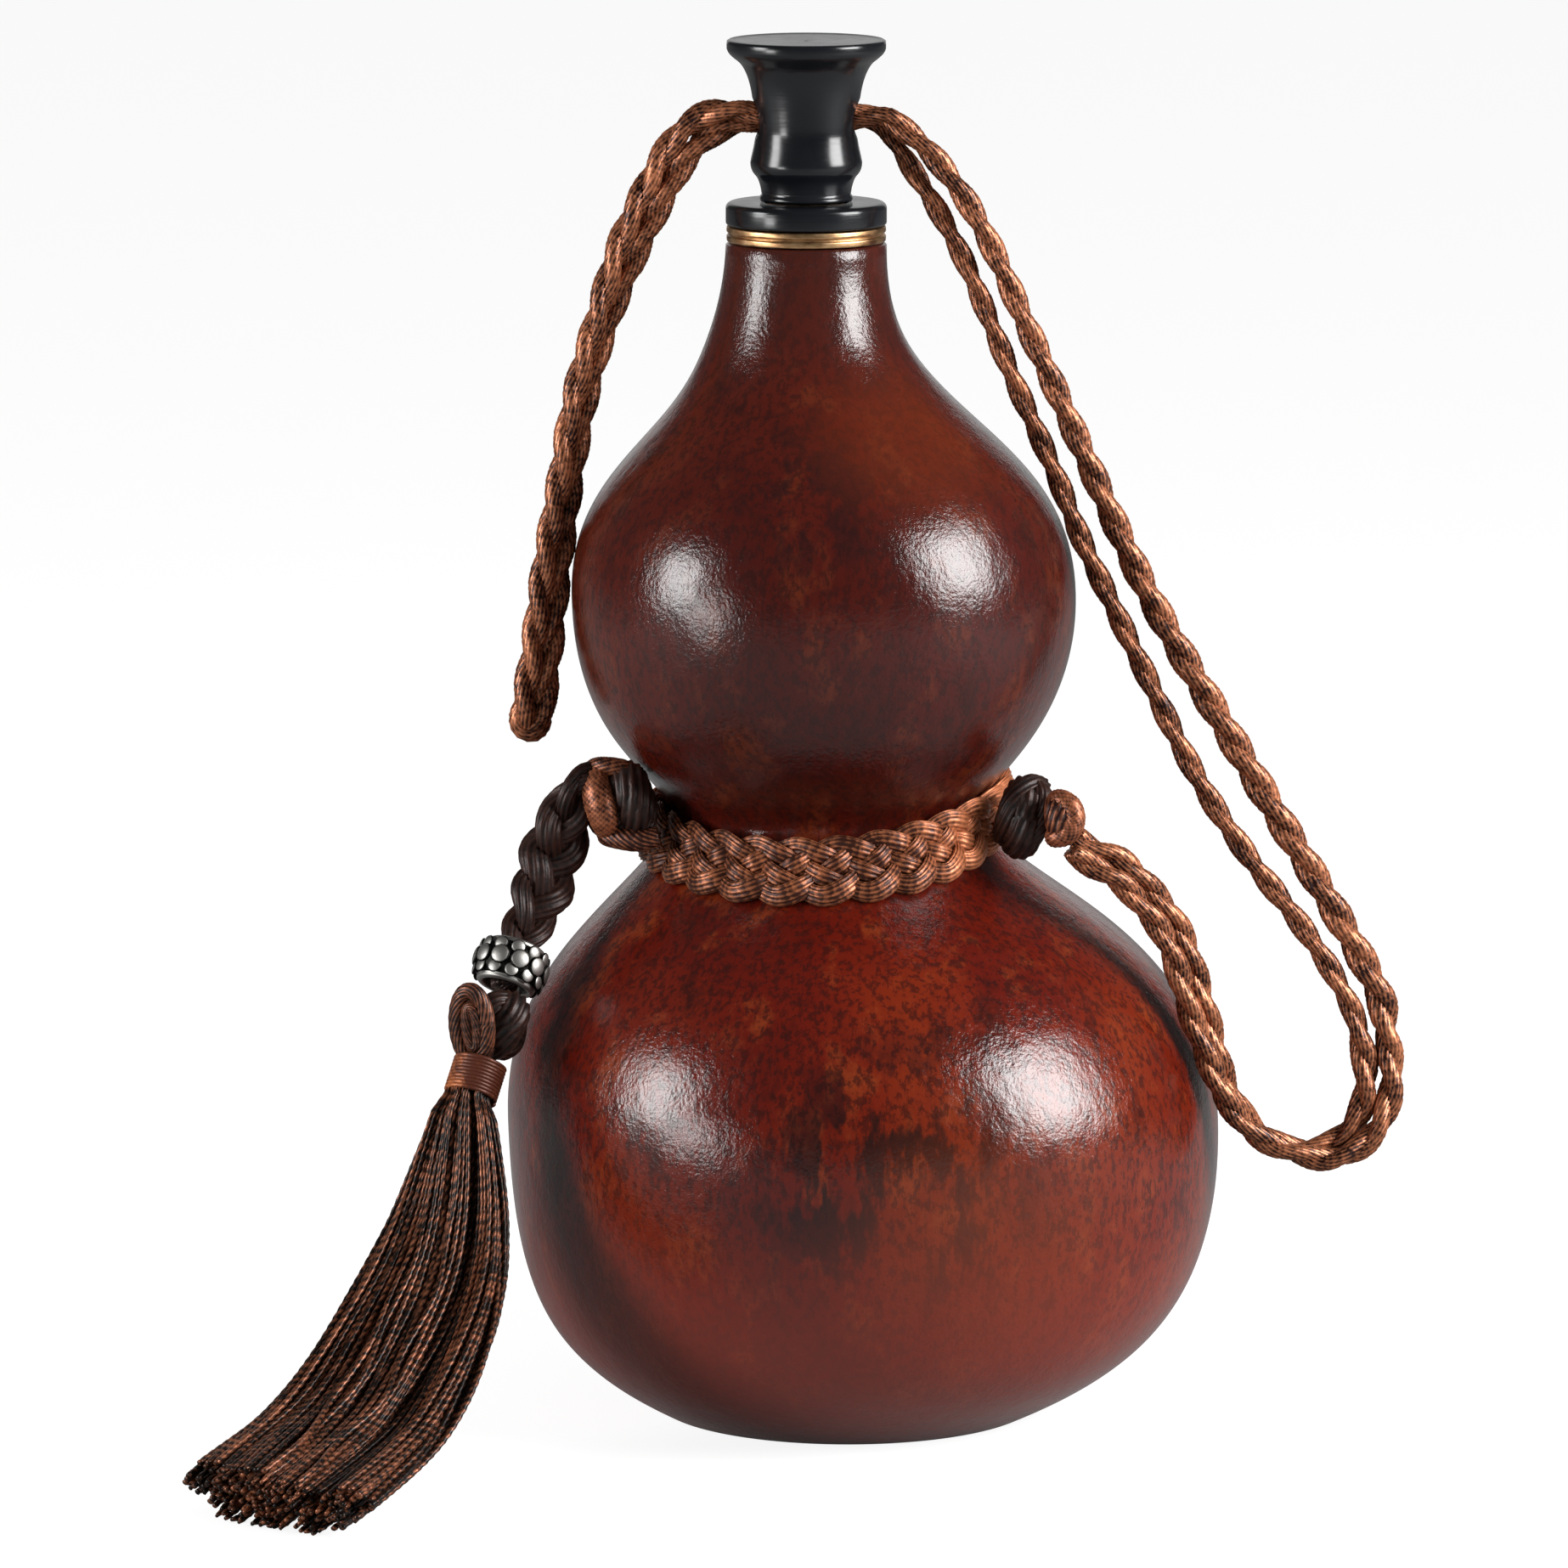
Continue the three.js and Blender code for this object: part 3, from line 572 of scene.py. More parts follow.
def doubled(route, lay):
    """Two lines beside a route, with their radii. Roll 0 puts the first one on the outside of the bend."""
    line = np.array(route, float)
    point, roll, half, radius = np.array(lay, float).T
    place = np.arange(len(line))
    roll = np.radians(np.interp(place, point, roll))[:, None]
    half = np.interp(place, point, half)[:, None]
    radius = np.interp(place, point, radius)[:, None]
    along = tangents(line)
    outward = unit(np.cross((0, 1, 0), along))
    offset = half * (np.cos(roll) * outward + np.sin(roll) * np.cross(along, outward))
    return np.hstack([line + offset, radius]), np.hstack([line - offset, radius])


def with_radius(route, low, high):
    """The route with its radii: low below 100 mm up, high above 170 mm up."""
    line = np.array(route, float)
    return np.hstack([line, np.interp(line[:, 2:], [100, 170], [low, high])])


def strap_route():
    loop_outer, loop_inner = doubled(lower_loop, loop_lay)
    fall_outer, fall_inner = doubled(left_fall, fall_lay)
    stations = np.vstack([
        loop_outer, with_radius(outer_strand, 2.2, 1.75), fall_outer, fold,
        fall_inner[::-1], with_radius(inner_strand, 1.65, 1.55)[::-1], loop_inner[::-1],
    ])
    route = smooth_line(stations, 0.6)
    return route[:, :3], route[:, 3]


strap_line, strap_radius = strap_route()


def strap_hand():
    """The lay at each point. The half that comes back up on the left is laid the other way, so that the
    pair looks plaited."""
    turn = int(np.argmin(np.linalg.norm(strap_line - fold[1][:3], axis=1)))
    hole = turn + int(np.argmin(np.linalg.norm(strap_line[turn:] - left_fall[2], axis=1)))
    hand = np.full(len(strap_line), -1.0)
    hand[turn:hole] = 1.0
    return hand


def build_strap():
    bundle = Bundle()
    hand = strap_hand()
    lines = twist_lines(strap_line, (0, 1, 0), 0.37 * strap_radius, cord_pitch, hand)
    for k, line in enumerate(lines):
        bundle.sweep(line, (0, 1, 0), 0.68 * strap_radius, sides=48, ribs=12, depth=0.20,
                     rib_turns=-0.045 * hand, seed=0.35 + 0.3 * k)
    return bundle.piece("strap", strap_thread, None, slot="satin_cord")


strap = build_strap()
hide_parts("strap_lower_loop", "strap_outer_strand", "strap_inner_strand", "strap_left_fall")
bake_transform(strap)


# Gourd: the CAD outline, drawn finely, with a natural unevenness

wall = 3.6
foot_radius = 27.8
belly_radius = 52
belly_height = 43
waist_radius = 22.9
waist_height = 88.5
bulb_radius = 36.4
bulb_height = 120
neck_radius = 11.6
neck_bore = 8.8
neck_rim = 171.0
neck_axis = -8.2

# Radius and height of the ends and handles of four curves
outline_curves = [
    ((foot_radius, 0), (41.8, 7), (belly_radius, 15), (belly_radius, belly_height)),
    ((belly_radius, belly_height), (belly_radius, 70.2), (waist_radius, 77.7), (waist_radius, waist_height)),
    ((waist_radius, waist_height), (waist_radius, 93.3), (bulb_radius, 99), (bulb_radius, bulb_height)),
    ((bulb_radius, bulb_height), (bulb_radius, 143.6), (neck_radius, 143.8), (neck_radius, neck_rim)),
]

# Where the leaning axis passes: x and height
drift_points = [
    (-2.2, 0), (0, belly_height / 2), (0, belly_height), (-1.59, 68), (-5.3, waist_height),
    (-5.8, bulb_height), (-6.09, 141.9), (neck_axis, 157.4), (neck_axis, neck_rim),
]


def bezier(points, steps):
    p = np.array(points, float)
    t = np.linspace(0, 1, steps, endpoint=False)[:, None]
    return (1 - t) ** 3 * p[0] + 3 * (1 - t) ** 2 * t * p[1] + 3 * (1 - t) * t ** 2 * p[2] + t ** 3 * p[3]


def drift_line():
    """The CAD's uniform curve through the drift points."""
    points = np.array(drift_points, float)
    ends = np.vstack([points[0], points, points[-1]])
    line = []
    for i in range(1, len(ends) - 2):
        p0, p1, p2, p3 = ends[i - 1:i + 3]
        t = np.linspace(0, 1, 30, endpoint=False)[:, None]
        line.append(0.5 * (2 * p1 + (p2 - p0) * t + (2 * p0 - 5 * p1 + 4 * p2 - p3) * t ** 2
                           + (3 * p1 - p0 - 3 * p2 + p3) * t ** 3))
    return np.vstack(line + [points[-1:]])


outline = np.vstack([bezier(curve, 44) for curve in outline_curves] + [[(neck_radius, neck_rim)]])
drift = drift_line()


def skin_radius(height):
    return np.interp(height, outline[:, 1], outline[:, 0])


def drift_at(height):
    return np.interp(height, drift[:, 1], drift[:, 0])


def uneven(angle, height):
    """Millimetres that the skin stands proud of its ideal round form."""
    wave = 0.16 * np.cos(2 * angle + height / 17) + 0.12 * np.sin(3 * angle - height / 11)
    wave += 0.05 * np.cos(7 * angle + height / 6)
    calm = np.clip(height / 12, 0, 1) * np.clip((165 - height) / 20, 0, 1)
    near_belt = np.clip(np.abs(height - 86) / 14, 0.2, 1)
    return wave * calm * near_belt


def build_gourd():
    """One closed skin: up the outside, over the neck's rim and down the inside, turned round the leaning
    axis. The inside needs only every sixth point of the outline."""
    columns = 240
    along = tangents(outline)
    inside = outline[4::6] + np.stack([-along[4::6, 1], along[4::6, 0]], 1) * wall
    inside[:, 0] = np.maximum(inside[:, 0], neck_bore)
    inside[:, 1] = np.clip(inside[:, 1], wall, neck_rim - 1)
    edge = 0.35
    rim = [(neck_radius - edge, neck_rim), (neck_bore + edge, neck_rim), (neck_bore, neck_rim - edge)]
    outside = outline.copy()
    outside[-1] = (neck_radius, neck_rim - edge)
    pole = 0.5
    floor = [(foot_radius - wall, wall), (pole, wall)]
    profile = np.vstack([[(pole, 0)], outside, rim, inside[::-1], floor])
    proud = len(outside)
    angle = np.linspace(0, 2 * math.pi, columns, endpoint=False)
    points = []
    for i, (radius, height) in enumerate(profile):
        ring = radius + (uneven(angle, height) if 1 <= i <= proud else 0)
        points.append(np.stack([drift_at(height) + ring * np.cos(angle), ring * np.sin(angle),
                                np.full(columns, height)], 1))
    faces = grid_faces(len(profile), columns)
    last = (len(profile) - 1) * columns
    faces.append(tuple(range(columns))[::-1])
    faces.append(tuple(last + j for j in range(columns)))
    add_mesh("gourd_shell", np.vstack(points), faces, lacquer, "bottle", ["gourd_body"])


build_gourd()


# Mouth and stopper, turned on a lathe

ring_foot = 171.2
ring_top = 173.4
ring_radius = 11.5
collar_foot = 173.6
collar_top = 176.8
collar_radius = 11.6
tube_foot = 158.8
tube_radius = 8.6
bore_radius = 6
stopper_foot = 177.0
stopper_top = 200.2
spigot_foot = 164.0
spigot_radius = 3
hole_radius = 3


def turned(name, profile, material, body, replaced, slot, columns=128, centre=neck_axis):
    """A turned piece from a closed profile of (radius, height) corners."""
    angle = np.linspace(0, 2 * math.pi, columns, endpoint=False)
    rings = []
    for radius, height in profile:
        rings.append(np.stack([centre + radius * np.cos(angle), radius * np.sin(angle),
                               np.full(columns, height)], 1))
    faces = grid_faces(len(profile), columns, closed_rows=True)
    return add_mesh(name, np.vstack(rings), faces, material, body, replaced)


def rounded(corners, reach=0.3, steps=4):
    """A closed profile with every corner rounded."""
    corners = np.array(corners, float)
    line = []
    for i, corner in enumerate(corners):
        before = corners[i - 1] - corner
        after = corners[(i + 1) % len(corners)] - corner
        cut = min(reach, 0.45 * np.linalg.norm(before), 0.45 * np.linalg.norm(after))
        start = corner + before / np.linalg.norm(before) * cut
        end = corner + after / np.linalg.norm(after) * cut
        for t in np.linspace(0, 1, steps):
            line.append((1 - t) ** 2 * start + 2 * t * (1 - t) * corner + t * t * end)
    return line


def build_mouth():
    groove = ring_foot + 1.1
    turned("brass_band", rounded([
        (neck_bore, ring_foot), (ring_radius - 0.05, ring_foot), (ring_radius, groove - 0.3),
        (ring_radius - 0.35, groove), (ring_radius, groove + 0.3), (ring_radius - 0.05, ring_top),
        (neck_bore, ring_top),
    ], 0.18), brass, "bottle", ["neck_ring"], "brass_ring")
    turned("collar", rounded([
        (bore_radius, tube_foot), (tube_radius, tube_foot), (tube_radius, collar_foot),
        (collar_radius, collar_foot), (collar_radius, collar_top - 0.5), (collar_radius - 0.5, collar_top),
        (bore_radius, collar_top),
    ], 0.35), resin, "bottle", ["mouth_collar"], "black_resin")


def knob_profile():
    pole = 0.3
    head = [(pole, 199.95), (10.6, 200.05), (11.1, stopper_top), (11.42, 200.0), (11.45, 199.6)]
    flank = smooth_line([
        (11.45, 198.9), (11.2, 198.3), (10.5, 197.6), (9.44, 196.7), (8.6, 195.2), (8.05, 193.4),
        (7.7, 191.3), (7.45, 189), (7.3, 186.9), (7.5, 185.2), (7.95, 183.1), (8.05, 182.3),
        (7.75, 181.2), (7.05, 180.3), (6.6, 179), (6.42, 177.9),
    ], 0.45)
    foot = [(6.62, 177.75), (6.7, 177.4), (6.6, stopper_foot), (spigot_radius, stopper_foot),
            (spigot_radius, spigot_foot), (pole, spigot_foot)]
    return np.vstack([head, flank, foot])


def build_knob():
    """The knob, drilled across for the strap."""
    knob = turned("stopper_grip", knob_profile(), resin, None, (), None, 144)
    drill_reach = 14
    drill = [(0.2, -drill_reach), (hole_radius, -drill_reach), (hole_radius, drill_reach), (0.2, drill_reach)]
    hole = turned("strap_hole", drill, resin, None, (), None, 48, 0)
    hole.rotation_euler = (0, math.radians(90), 0)
    hole.location = (neck_axis * MM, 0, hole_height * MM)
    cut = knob.modifiers.new("cut", "BOOLEAN")
    cut.operation = "DIFFERENCE"
    cut.object = hole
    cut.solver = "EXACT"
    bpy.context.view_layer.update()
    mesh = bpy.data.meshes.new_from_object(knob.evaluated_get(bpy.context.evaluated_depsgraph_get()))
    knob.modifiers.clear()
    knob.data = mesh
    knob.data.polygons.foreach_set("use_smooth", [True] * len(mesh.polygons))
    bpy.data.objects.remove(hole)
    soften = knob.modifiers.new("weighted", "WEIGHTED_NORMAL")
    soften.keep_sharp = True
    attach(knob, "stopper")
    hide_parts("stopper_knob")


build_mouth()
build_knob()
cork_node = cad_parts["stopper_cork"]
cork_node.data.materials.clear()
cork_node.data.materials.append(cork)


# Belt: five flat strands plaited over one and under one, drawn as one line that goes five times round

belt_low = -0.9
belt_tilt = 1.6
belt_droop = 3.8
belt_leaves = 27
belt_strands = 5
belt_sweep = 3.2
belt_middle = 1.85
belt_lift = 0.62


def on_belt(angle, across, out):
    """A point on the belt: angle round it, height across it and distance from the skin."""
    droop = belt_droop * np.maximum(-np.sin(angle), 0) ** 1.5
    height = waist_height + belt_low + belt_tilt * np.cos(angle) - droop + across
    radius = skin_radius(height) + out
    return np.stack([drift_at(height) + radius * np.cos(angle), radius * np.sin(angle), height], -1)


def build_belt():
    rows = 2000
    rounding = 0.94
    angle = np.linspace(0, 2 * math.pi * belt_strands, rows, endpoint=False)
    phase = belt_leaves * angle / angle[-1] * (rows - 1) / rows % 1
    swing = np.arcsin(-rounding * np.cos(2 * math.pi * phase)) / math.asin(rounding)
    # In each turn of the plait a strand goes over and under the others at these places
    places = [0, 0.1, 0.2, 0.3, 0.4, 0.6, 0.7, 0.8, 0.9, 1]
    lift = np.sin(np.interp(phase, places, [0, 1, -1, 1, -1, 1, -1, 1, -1, 0]) * math.pi / 2)
    across = belt_sweep * swing
    out = belt_middle + belt_lift * lift
    line = on_belt(angle, across, out)
    outward = unit(on_belt(angle, across, out + 1) - line)
    side = unit(np.cross(outward, tangents(line, True)))
    bundle = Bundle()
    bundle.sweep(line, None, 1.5 + 0.12 * lift, 0.74 + 0.05 * lift, sides=60, ribs=12, depth=0.16,
                 closed=True, seed=0.5, sides_given=side)
    bundle.piece("belt_braid", belt_thread, "bottle", ["waist_belt"], "satin_cord")


build_belt()


# Knots: thick cords of many threads, tied round cores painted near-black as shade

tassel_pivot = np.array([-45.86, -12.55, 83.0])
drop = unit(np.array([-0.2801, -0.4551, -0.8452]))
drop_side = unit(np.cross(drop, (0, 1, 0)))
drop_front = np.cross(drop, drop_side)


def lay_cord(bundle, points, radius, flat=1.0, closed=False, slope=0.055, seed=0.5, ribs=13):
    """A thick cord through points, its threads running round it at a slope."""
    line = np.array(points, float)
    line = smooth_line(np.vstack([line, line[:1]]), 0.3)[:-1] if closed else smooth_line(line, 0.3)
    if np.ndim(radius):
        travelled = lengths_along(line)
        radius = np.interp(travelled / travelled[-1], np.linspace(0, 1, len(radius)), radius)
    bundle.sweep(line, (0.3, -1, 0.2), radius, np.asarray(radius) * flat, sides=4 * ribs, ribs=ribs,
                 depth=0.14, rib_turns=slope, closed=closed, seed=seed)


def lay_ring(bundle, centre, first, second, radius, slope, seed=0.5, steps=12):
    """A thick cord in an oval ring, given by its centre and two half axes."""
    angle = np.linspace(0, 2 * math.pi, steps, endpoint=False)[:, None]
    ring = np.array(centre) + np.cos(angle) * np.array(first) + np.sin(angle) * np.array(second)
    lay_cord(bundle, ring, radius, closed=True, slope=slope, seed=seed)


def build_left_knot():
    core = Bundle()
    lay_ring(core, (-33.4, -12.6, 91.6), (0.5, -2.4, 0.3), (-0.7, 0, 3.0), 3.0, 0.03)
    lay_ring(core, (-36.2, -11.4, 91.4), (1.6, -1.8, 0.5), (0.4, 1.6, 3.2), 2.3, 0.03)
    lay_cord(core, [(-36.5, -11.5, 95), (-34.2, -13.9, 95.4), (-31.4, -14.4, 92), (-31.4, -14.8, 88)], 1.7,
             slope=0.03, seed=0.3)
    # The core takes the near-black thread, painted shade
    core.piece("left_knot_core", knot_thread_painted_shade, "bottle", ["left_knot"], "dark_cord")
    wrap = Bundle()
    lay_cord(wrap, [(-37.2, -11.8, 95.6), (-38.3, -13.6, 95.0), (-38.3, -14.9, 93.2), (-37.7, -15.5, 91.0),
                    (-37.2, -15.2, 89.0), (-36.9, -13.9, 87.4), (-36.4, -12.0, 86.8)],
             [1.3, 1.9, 2.35, 2.5, 2.3, 1.8, 1.2], 0.9, slope=-0.085, seed=0.75, ribs=15)
    lay_cord(wrap, [(-36.5, -9.5, 94.8), (-38.6, -11.2, 96.0), (-37.6, -13.2, 96.6), (-35.2, -13.8, 96.5),
                    (-33, -12.6, 95.6), (-32, -10.8, 94.5)],
             [1.2, 1.5, 1.6, 1.6, 1.5, 1.2], 0.9, slope=-0.06, seed=0.3)
    lay_cord(wrap, [(-36.6, -11.5, 87.2), (-36.8, -13.8, 86.8), (-34.6, -15.2, 86.5), (-31.8, -16, 86.4),
                    (-29.4, -16.2, 87)],
             [1.4, 1.7, 1.8, 1.8, 1.5], 0.85, slope=0.07, seed=-0.1)
    wrap.piece("left_knot_wrap", wrap_thread, "bottle", slot="satin_cord")


def build_right_knots():
    knot = Bundle()
    lay_ring(knot, (22.9, -14.4, 89.4), (0.6, -2.0, 0.6), (0.3, 0.4, 3.4), 2.8, 0.02)
    lay_cord(knot, [(20.5, -12.5, 86.5), (20.8, -15.8, 89), (21.8, -16.5, 92), (23.9, -15.2, 93.8),
                    (25.4, -12.8, 93.2)], 2.0, slope=0.02, seed=0.3)
    lay_cord(knot, [(24.2, -14.6, 94), (25.6, -16.2, 93), (25.8, -17, 90.4), (24.4, -16.8, 87.2),
                    (22.8, -14.6, 85.1), (21.4, -12, 85.4)], 1.6, slope=0.05, seed=0.9)
    # The knot's lays take the near-black thread, painted shade
    knot.piece("right_knot_lays", knot_thread_painted_shade, "bottle", ["right_knot"], "dark_cord")
    button = Bundle()
    centre = np.array([28.5, -20.0, 90.2])
    lay_ring(button, centre, (0.3, 1.0, 0.3), (-0.25, 0, 1.9), 2.3, 0.05, 0.1)
    coil = [(-1.4, 1.6, 2.0), (-0.4, -0.6, 2.9), (1.2, -1.4, 1.9), (1.6, -1.7, -0.2), (0.6, -1.9, -1.9),
            (-1.0, -1.2, -2.6), (-1.2, 1.2, -2.6)]
    lay_cord(button, centre + np.array(coil), [1.2, 1.5, 1.65, 1.7, 1.65, 1.5, 1.2],
             slope=-0.085, seed=0.85)
    button.piece("button_lays", wrap_thread, "bottle", ["button_knot"], "satin_cord")


build_left_knot()
build_right_knots()


# Hanger: a loop of the left knot that opens into a flat plait of three strands and runs into the bead

def build_hanger():
    strands = 3
    pitch = 19.0
    route = smooth_line([
        (-36.5, -12.8, 94.0), (-39.8, -13.4, 95.2), (-41.6, -13.4, 93.4), (-42.8, -13, 89.8),
        (-43.8, -12.7, 86.3), tassel_pivot + 0.2 * drop + (0.9, 0, 0),
        tassel_pivot + 5 * drop + (0.8, 0, 0), tassel_pivot + 10 * drop + (0.5, 0, 0),
        tassel_pivot + 15 * drop, tassel_pivot + 20.5 * drop,
    ], 0.35)
    travelled = lengths_along(route)
    wide = np.interp(travelled, [0, 5, 9, 14, 19, 24, 29, 33], [0.3, 0.7, 1.7, 2.8, 3.0, 2.7, 1.9, 1.0])
    size = np.interp(travelled, [0, 5, 12, 24, 30], [1.2, 1.7, 2.35, 2.2, 1.6])
    side = sides_of(route, (0.3, -0.3, 0.9))
    across = np.cross(tangents(route), side)
    bundle = Bundle()
    for k in range(strands):
        turn = 2 * math.pi * (travelled / pitch + k / strands)
        sway = (wide * np.sin(turn))[:, None]
        lift = (0.85 * np.sin(2 * turn))[:, None]
        bundle.sweep(route + sway * side + lift * across, (0.3, -0.3, 0.9), size, 0.72 * size, sides=48,
                     ribs=12, depth=0.14, rib_turns=0.02, seed=0.3 + 0.3 * k)
    # The plait takes the near-black thread, painted shade
    hanger = bundle.piece("hanger_plait", knot_thread_painted_shade, None, slot="dark_cord")
    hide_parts("hanger_braid")
    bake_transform(hanger)


build_hanger()


# Bead: a barrel with plain rounded rims and three rows of granules, on the braid under the pivot

bead_centre = tassel_pivot + 17 * drop

# Height of a row, a granule's radius, how many there are and how far out they sit
granule_rows = [(-1.75, 1.1, 12, 5.0), (0, 1.5, 11, 5.3), (1.75, 1.1, 12, 5.0)]
granule_flatness = 0.34


def build_bead():
    columns = 96
    profile = rounded([
        (3.3, -3.2), (3.9, -3.3), (4.3, -3.0), (4.3, -2.6), (5.0, -1.7), (5.3, 0), (5.0, 1.7), (4.3, 2.6),
        (4.3, 3.0), (3.9, 3.3), (3.3, 3.2),
    ], 0.3)
    angle = np.linspace(0, 2 * math.pi, columns, endpoint=False)

    def to_space(x, y, z):
        return bead_centre + np.outer(x, drop_side) + np.outer(y, drop_front) + np.outer(z, drop)

    points = [to_space(r * np.cos(angle), r * np.sin(angle), np.full(columns, z)) for r, z in profile]
    rim_foot = 2.5
    marks = [np.full((columns, 3), 0.3 if abs(z) > rim_foot else 1.0) for r, z in profile]
    faces = grid_faces(len(profile), columns, closed_rows=True)
    count = len(profile) * columns
    across, up = 14, 9
    for row, (height, size, number, reach) in enumerate(granule_rows):
        for i in range(number):
            a = 2 * math.pi * (i + 0.5 * (row % 2)) / number
            u = np.linspace(0, 2 * math.pi, across, endpoint=False)
            v = np.linspace(0.03, math.pi - 0.03, up)
            ring_u, ring_v = np.meshgrid(u, v)
            ball = size * np.stack([np.cos(ring_v), np.sin(ring_v) * np.cos(ring_u),
                                    np.sin(ring_v) * np.sin(ring_u)], -1).reshape(-1, 3)
            radial = reach - 0.1 + ball[:, 0] * granule_flatness
            x = radial * math.cos(a) - ball[:, 1] * math.sin(a)
            y = radial * math.sin(a) + ball[:, 1] * math.cos(a)
            points.append(to_space(x, y, height + ball[:, 2]))
            marks.append(np.repeat(1 - ball[:, :1] / size, 3, axis=1))
            faces += [tuple(count + k for k in face) for face in grid_faces(up, across)]
            faces.append(tuple(count + k for k in range(across))[::-1])
            faces.append(tuple(count + (up - 1) * across + k for k in range(across)))
            count += across * up
    add_mesh("granulated_bead", np.vstack(points), faces, silver, "bead", ["silver_bead"],
             np.vstack(marks))


build_bead()


# Tassel: head knot of coiled lays, binding thread and the fringe

fringe_root = tassel_pivot + 31.8 * drop
binding_length = 5.8
binding_radius = 3.6
fringe_neck_length = 6.1
fringe_neck_radius = 3.3
fringe_half_width = 16.3
fringe_half_thickness = 4.3
full_width_share = 0.9
fringe_bend = [
    (0, 0, 0), tuple(0.5 * fringe_neck_length * drop), tuple(fringe_neck_length * drop),
    (-4.8, -9.8, -23.1), (-9.8, -20.3, -35.1), (-17.8, -33.8, -45.6), (-29.6, -53.2, -52.4),
]


def build_head_knot():
    ball = Bundle()
    centre = tassel_pivot + 26.3 * drop + (1.2, 0.6, 0)
    lay_ring(ball, centre, (1.0, -1.8, 0.9), (1.1, 0.3, 2.2), 2.9, 0.03, 0.2)
    lay_ring(ball, centre, (1.7, 1.8, -1.6), (0.6, -0.9, 3.1), 2.0, 0.03, 0.3)
    lay_ring(ball, (-55.6, -27.0, 61.2), (1.0, -0.4, 0.2), (-0.4, -0.3, 3.8), 2.0, 0.03, 0.3)
    # The knot's balls take the near-black thread, painted shade behind the lighter coil
    ball.piece("tassel_knot", knot_thread_painted_shade, "tassel", ["tassel_head_knot"], "dark_cord")
    coil = Bundle()
    middle = np.array([-56.0, -28.6, 61.7])
    lay_ring(coil, middle, (2.2, -0.9, 0.4), (-0.4, -0.3, 5.1), 1.2, 0.05, 0.35, 16)
    lay_ring(coil, middle + (0.1, -0.5, -0.2), (0.75, -0.3, 0.1), (-0.3, -0.2, 3.0), 0.95, -0.05, 0.1, 16)
    coil.piece("tassel_coil", coil_thread, "tassel", slot="dark_cord")


def build_binding():
    turns = 10
    end_gap = 0.3
    share = np.linspace(0, 1, turns * 40)
    angle = (2 * math.pi * turns * share)[:, None]
    along = (end_gap + (binding_length - 2 * end_gap) * share)[:, None]
    line = fringe_root + binding_radius * (np.cos(angle) * drop_side + np.sin(angle) * drop_front)
    bundle = Bundle()
    bundle.sweep(line + along * drop, drop, 0.33, 0.33, sides=8, seed=0.5)
    bundle.piece("binding_wraps", binding_satin, "tassel", ["tassel_binding"], "binding_thread")


def build_fringe():
    """Threads of two plies in loose clumps, on nearly the CAD's bend but slightly wider and longer."""
    route = smooth_line(np.array(fringe_bend) + fringe_root, 0.5)
    total = lengths_along(route)[-1]
    neck_share = fringe_neck_length / total
    along = tangents(route)
    side = unit(np.stack([along[:, 1], -along[:, 0], np.zeros(len(along))], 1))
    face = np.cross(side, along)
    station = np.linspace(0, 1, len(route))
    clumps = 38
    threads_in_clump = 8
    rows = 150
    golden_angle = 2.39996
    bundle = Bundle()
    for clump in range(clumps):
        reach = math.sqrt((clump + 0.5) / clumps) * 0.92
        around = clump * golden_angle + shuffle.uniform(-0.25, 0.25)
        clump_length = 1 - 0.035 * (reach * math.cos(around)) ** 2 - shuffle.uniform(0, 0.03)
        clump_shade = 0.8 * shuffle.random() ** 2 - 0.80
        clump_turn = shuffle.uniform(0, 2 * math.pi)
        clump_twist = shuffle.uniform(-3.5, 3.5)
        for thread in range(threads_in_clump):
            share = np.linspace(0, clump_length - shuffle.uniform(0, 0.008), rows)
            opening = np.clip((share - neck_share) / (full_width_share - neck_share), 0, 1)
            spread = 1 - (1 - opening) ** 2
            neck = fringe_neck_radius + 0.9 * np.clip((share - neck_share) / 0.03, 0, 1)
            half_width = neck + (fringe_half_width - neck) * spread
            half_thick = neck + (fringe_half_thickness - neck) * spread
            own = 2 * math.pi * thread / threads_in_clump + clump_turn + clump_twist * share
            own_reach = 0.115 + 0.03 * math.sin(3 * thread)
            wobble = shuffle.uniform(0, 2 * math.pi)
            loose = 0.012 + 0.06 * shuffle.random() ** 5
            sway = loose * np.sin(2 * math.pi * share * shuffle.uniform(1, 4) + wobble)
            a = reach * math.cos(around) - 0.06 * spread + own_reach * np.cos(own) + sway * spread
            b = reach * math.sin(around) + own_reach * np.sin(own) * 1.6 - sway * spread
            at, side_at, face_at = (np.stack([np.interp(share, station, column) for column in table.T], 1)
                                    for table in (route, side, face))
            line = at + side_at * (half_width * a)[:, None] + face_at * (half_thick * b)[:, None]
            size = np.interp(share, [0, 0.1, 0.35, 0.9, 0.97, 1], [0.22, 0.30, 0.43, 0.50, 0.46, 0.26])
            floor = 0.5 + 0.2 * shuffle.random() + 1.2 * max(math.sin(around), 0) * spread
            line[:, 2] = np.maximum(line[:, 2], floor)
            bundle.sweep(line, (1, 0, 0), size, sides=8, ribs=2, depth=0.26,
                         rib_turns=0.30, seed=clump_shade + 0.9 * shuffle.random() ** 3 - 0.15)
    bundle.piece("fringe_threads", fringe_thread, "tassel", ["tassel_fringe"], "fringe_thread")


build_head_knot()
build_binding()
build_fringe()


# Stage: a pale floor and a white wall beyond the cameras of all views, soft boxes to the left and right, and
# soft light all round. Lengths are in metres here.

floor_reach = 3.2
floor_level = -0.00005
wall_y = 3.2
wall_half_width = 1.28
wall_top = 4.8
lamp_target = Vector((0, 0, 0.09))

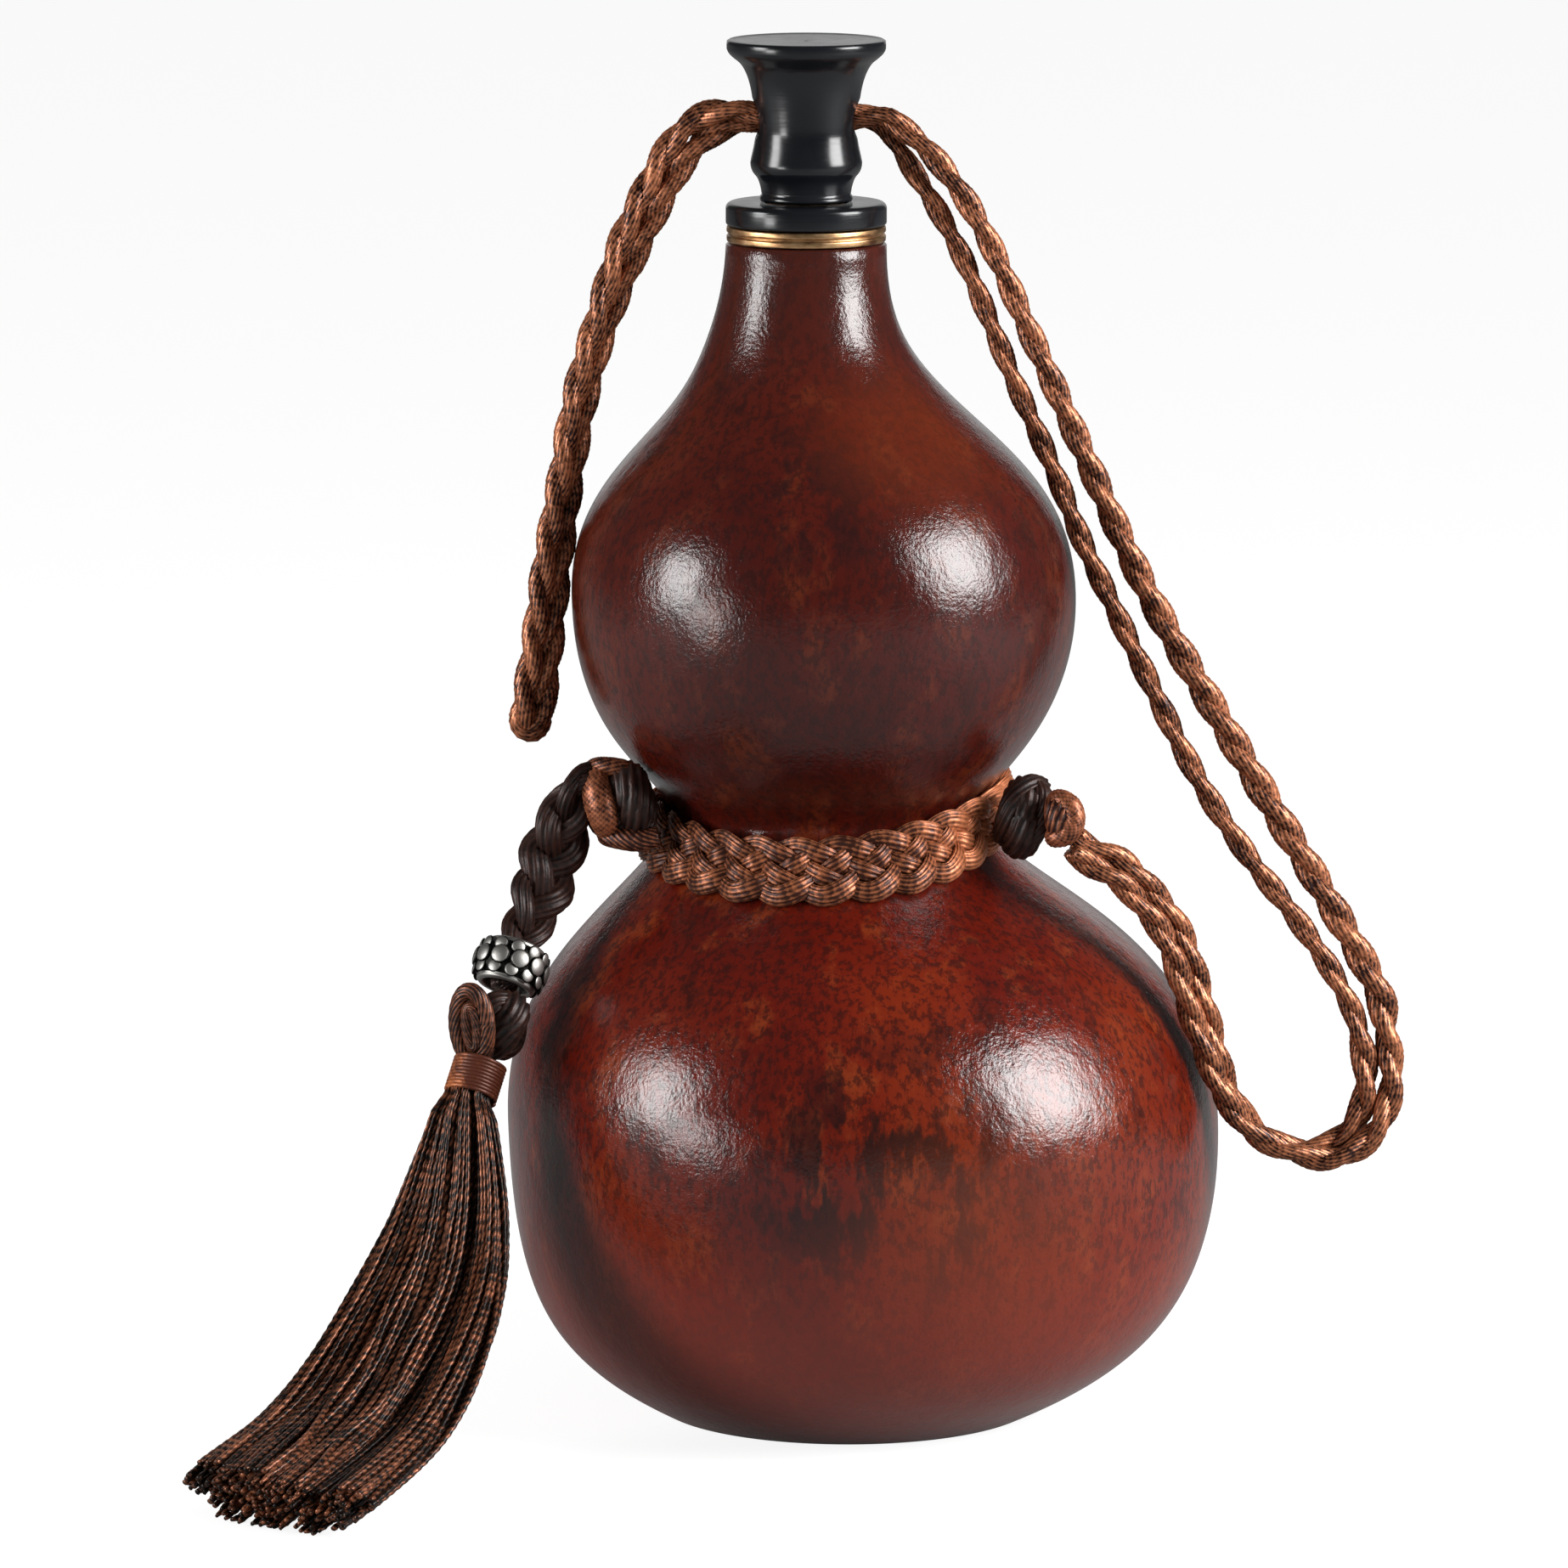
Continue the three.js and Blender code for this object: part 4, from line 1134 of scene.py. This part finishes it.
# Each lamp's azimuth and elevation in degrees, distance, width and height, and power in watts
soft_boxes = {
    "left_box": (-71, 14, 0.9, (0.29, 0.40), 5.2),
    "left_low_box": (-54, -1, 0.8, (0.20, 0.14), 1.1),
    "right_box": (68, 23, 0.9, (0.44, 0.52), 13.0),
}

# The surround's strength for the camera, for light on the object and in reflections
surround_seen = 1.08
surround_light = 0.31
surround_mirrored = 0.06


def stage_material(name, grey, seen_glow, mirrored_glow):
    """A plain pale surface that glows for rays from the camera, and less for rays off shiny pieces."""
    material, look, shader = new_material(name)
    rays = look.node("LightPath").outputs
    seen = look.math("MULTIPLY", rays["Is Camera Ray"], seen_glow)
    mirrored = look.math("MULTIPLY", rays["Is Glossy Ray"], mirrored_glow)
    look.fill(shader, {
        "Base Color": (grey, grey, grey),
        "Roughness": 0.9,
        "Specular IOR Level": 0.1,
        "Emission Color": (1, 1, 1),
        "Emission Strength": look.math("ADD", seen, mirrored),
    })
    return material


def sheet(name, corners, material):
    """A flat stage sheet from four corners in metres."""
    add_mesh(name, np.array(corners) / MM, [(0, 1, 2, 3)], material, None)


def build_stage():
    sheet("floor", [
        (-floor_reach, -floor_reach, floor_level), (floor_reach, -floor_reach, floor_level),
        (floor_reach, wall_y, floor_level), (-floor_reach, wall_y, floor_level),
    ], stage_material("floor", 0.25, 0.88, 0.06))
    sheet("wall", [
        (-wall_half_width, wall_y, floor_level), (wall_half_width, wall_y, floor_level),
        (wall_half_width, wall_y, wall_top), (-wall_half_width, wall_y, wall_top),
    ], stage_material("wall", 0.3, 1.08, 0.55))


def soft_box(name, azimuth, elevation, distance, size, power):
    light = bpy.data.lights.new(name, "AREA")
    light.shape = "RECTANGLE"
    light.size, light.size_y = size
    light.energy = power
    lamp = bpy.data.objects.new(name, light)
    around = math.radians(azimuth)
    up = math.radians(elevation)
    direction = Vector((math.sin(around) * math.cos(up), -math.cos(around) * math.cos(up), math.sin(up)))
    lamp.location = lamp_target + distance * direction
    lamp.rotation_euler = (lamp_target - lamp.location).to_track_quat("-Z", "Y").to_euler()
    scene.collection.objects.link(lamp)


def build_surround():
    """Soft light from all sides, white to the camera and dim in reflections."""
    world = bpy.data.worlds.new("surround")
    world.use_nodes = True
    look = Look(world.node_tree)
    rays = look.node("LightPath").outputs
    mirrored = look.math("MULTIPLY", rays["Is Glossy Ray"], surround_mirrored - surround_light)
    light = look.nodes["Background"]
    look.fill(light, {"Color": (1, 1, 1), "Strength": look.math("ADD", mirrored, surround_light)})
    seen = look.node("Background")
    look.fill(seen, {"Color": (1, 1, 1), "Strength": surround_seen})
    chosen = look.node("MixShader")
    for socket, source in zip(chosen.inputs, (rays["Is Camera Ray"], light.outputs[0], seen.outputs[0])):
        look.link(source, socket)
    look.link(chosen.outputs[0], look.nodes["World Output"].inputs["Surface"])
    scene.world = world


build_stage()
for name, settings in soft_boxes.items():
    soft_box(name, *settings)
build_surround()

scene.view_settings.view_transform = "Standard"
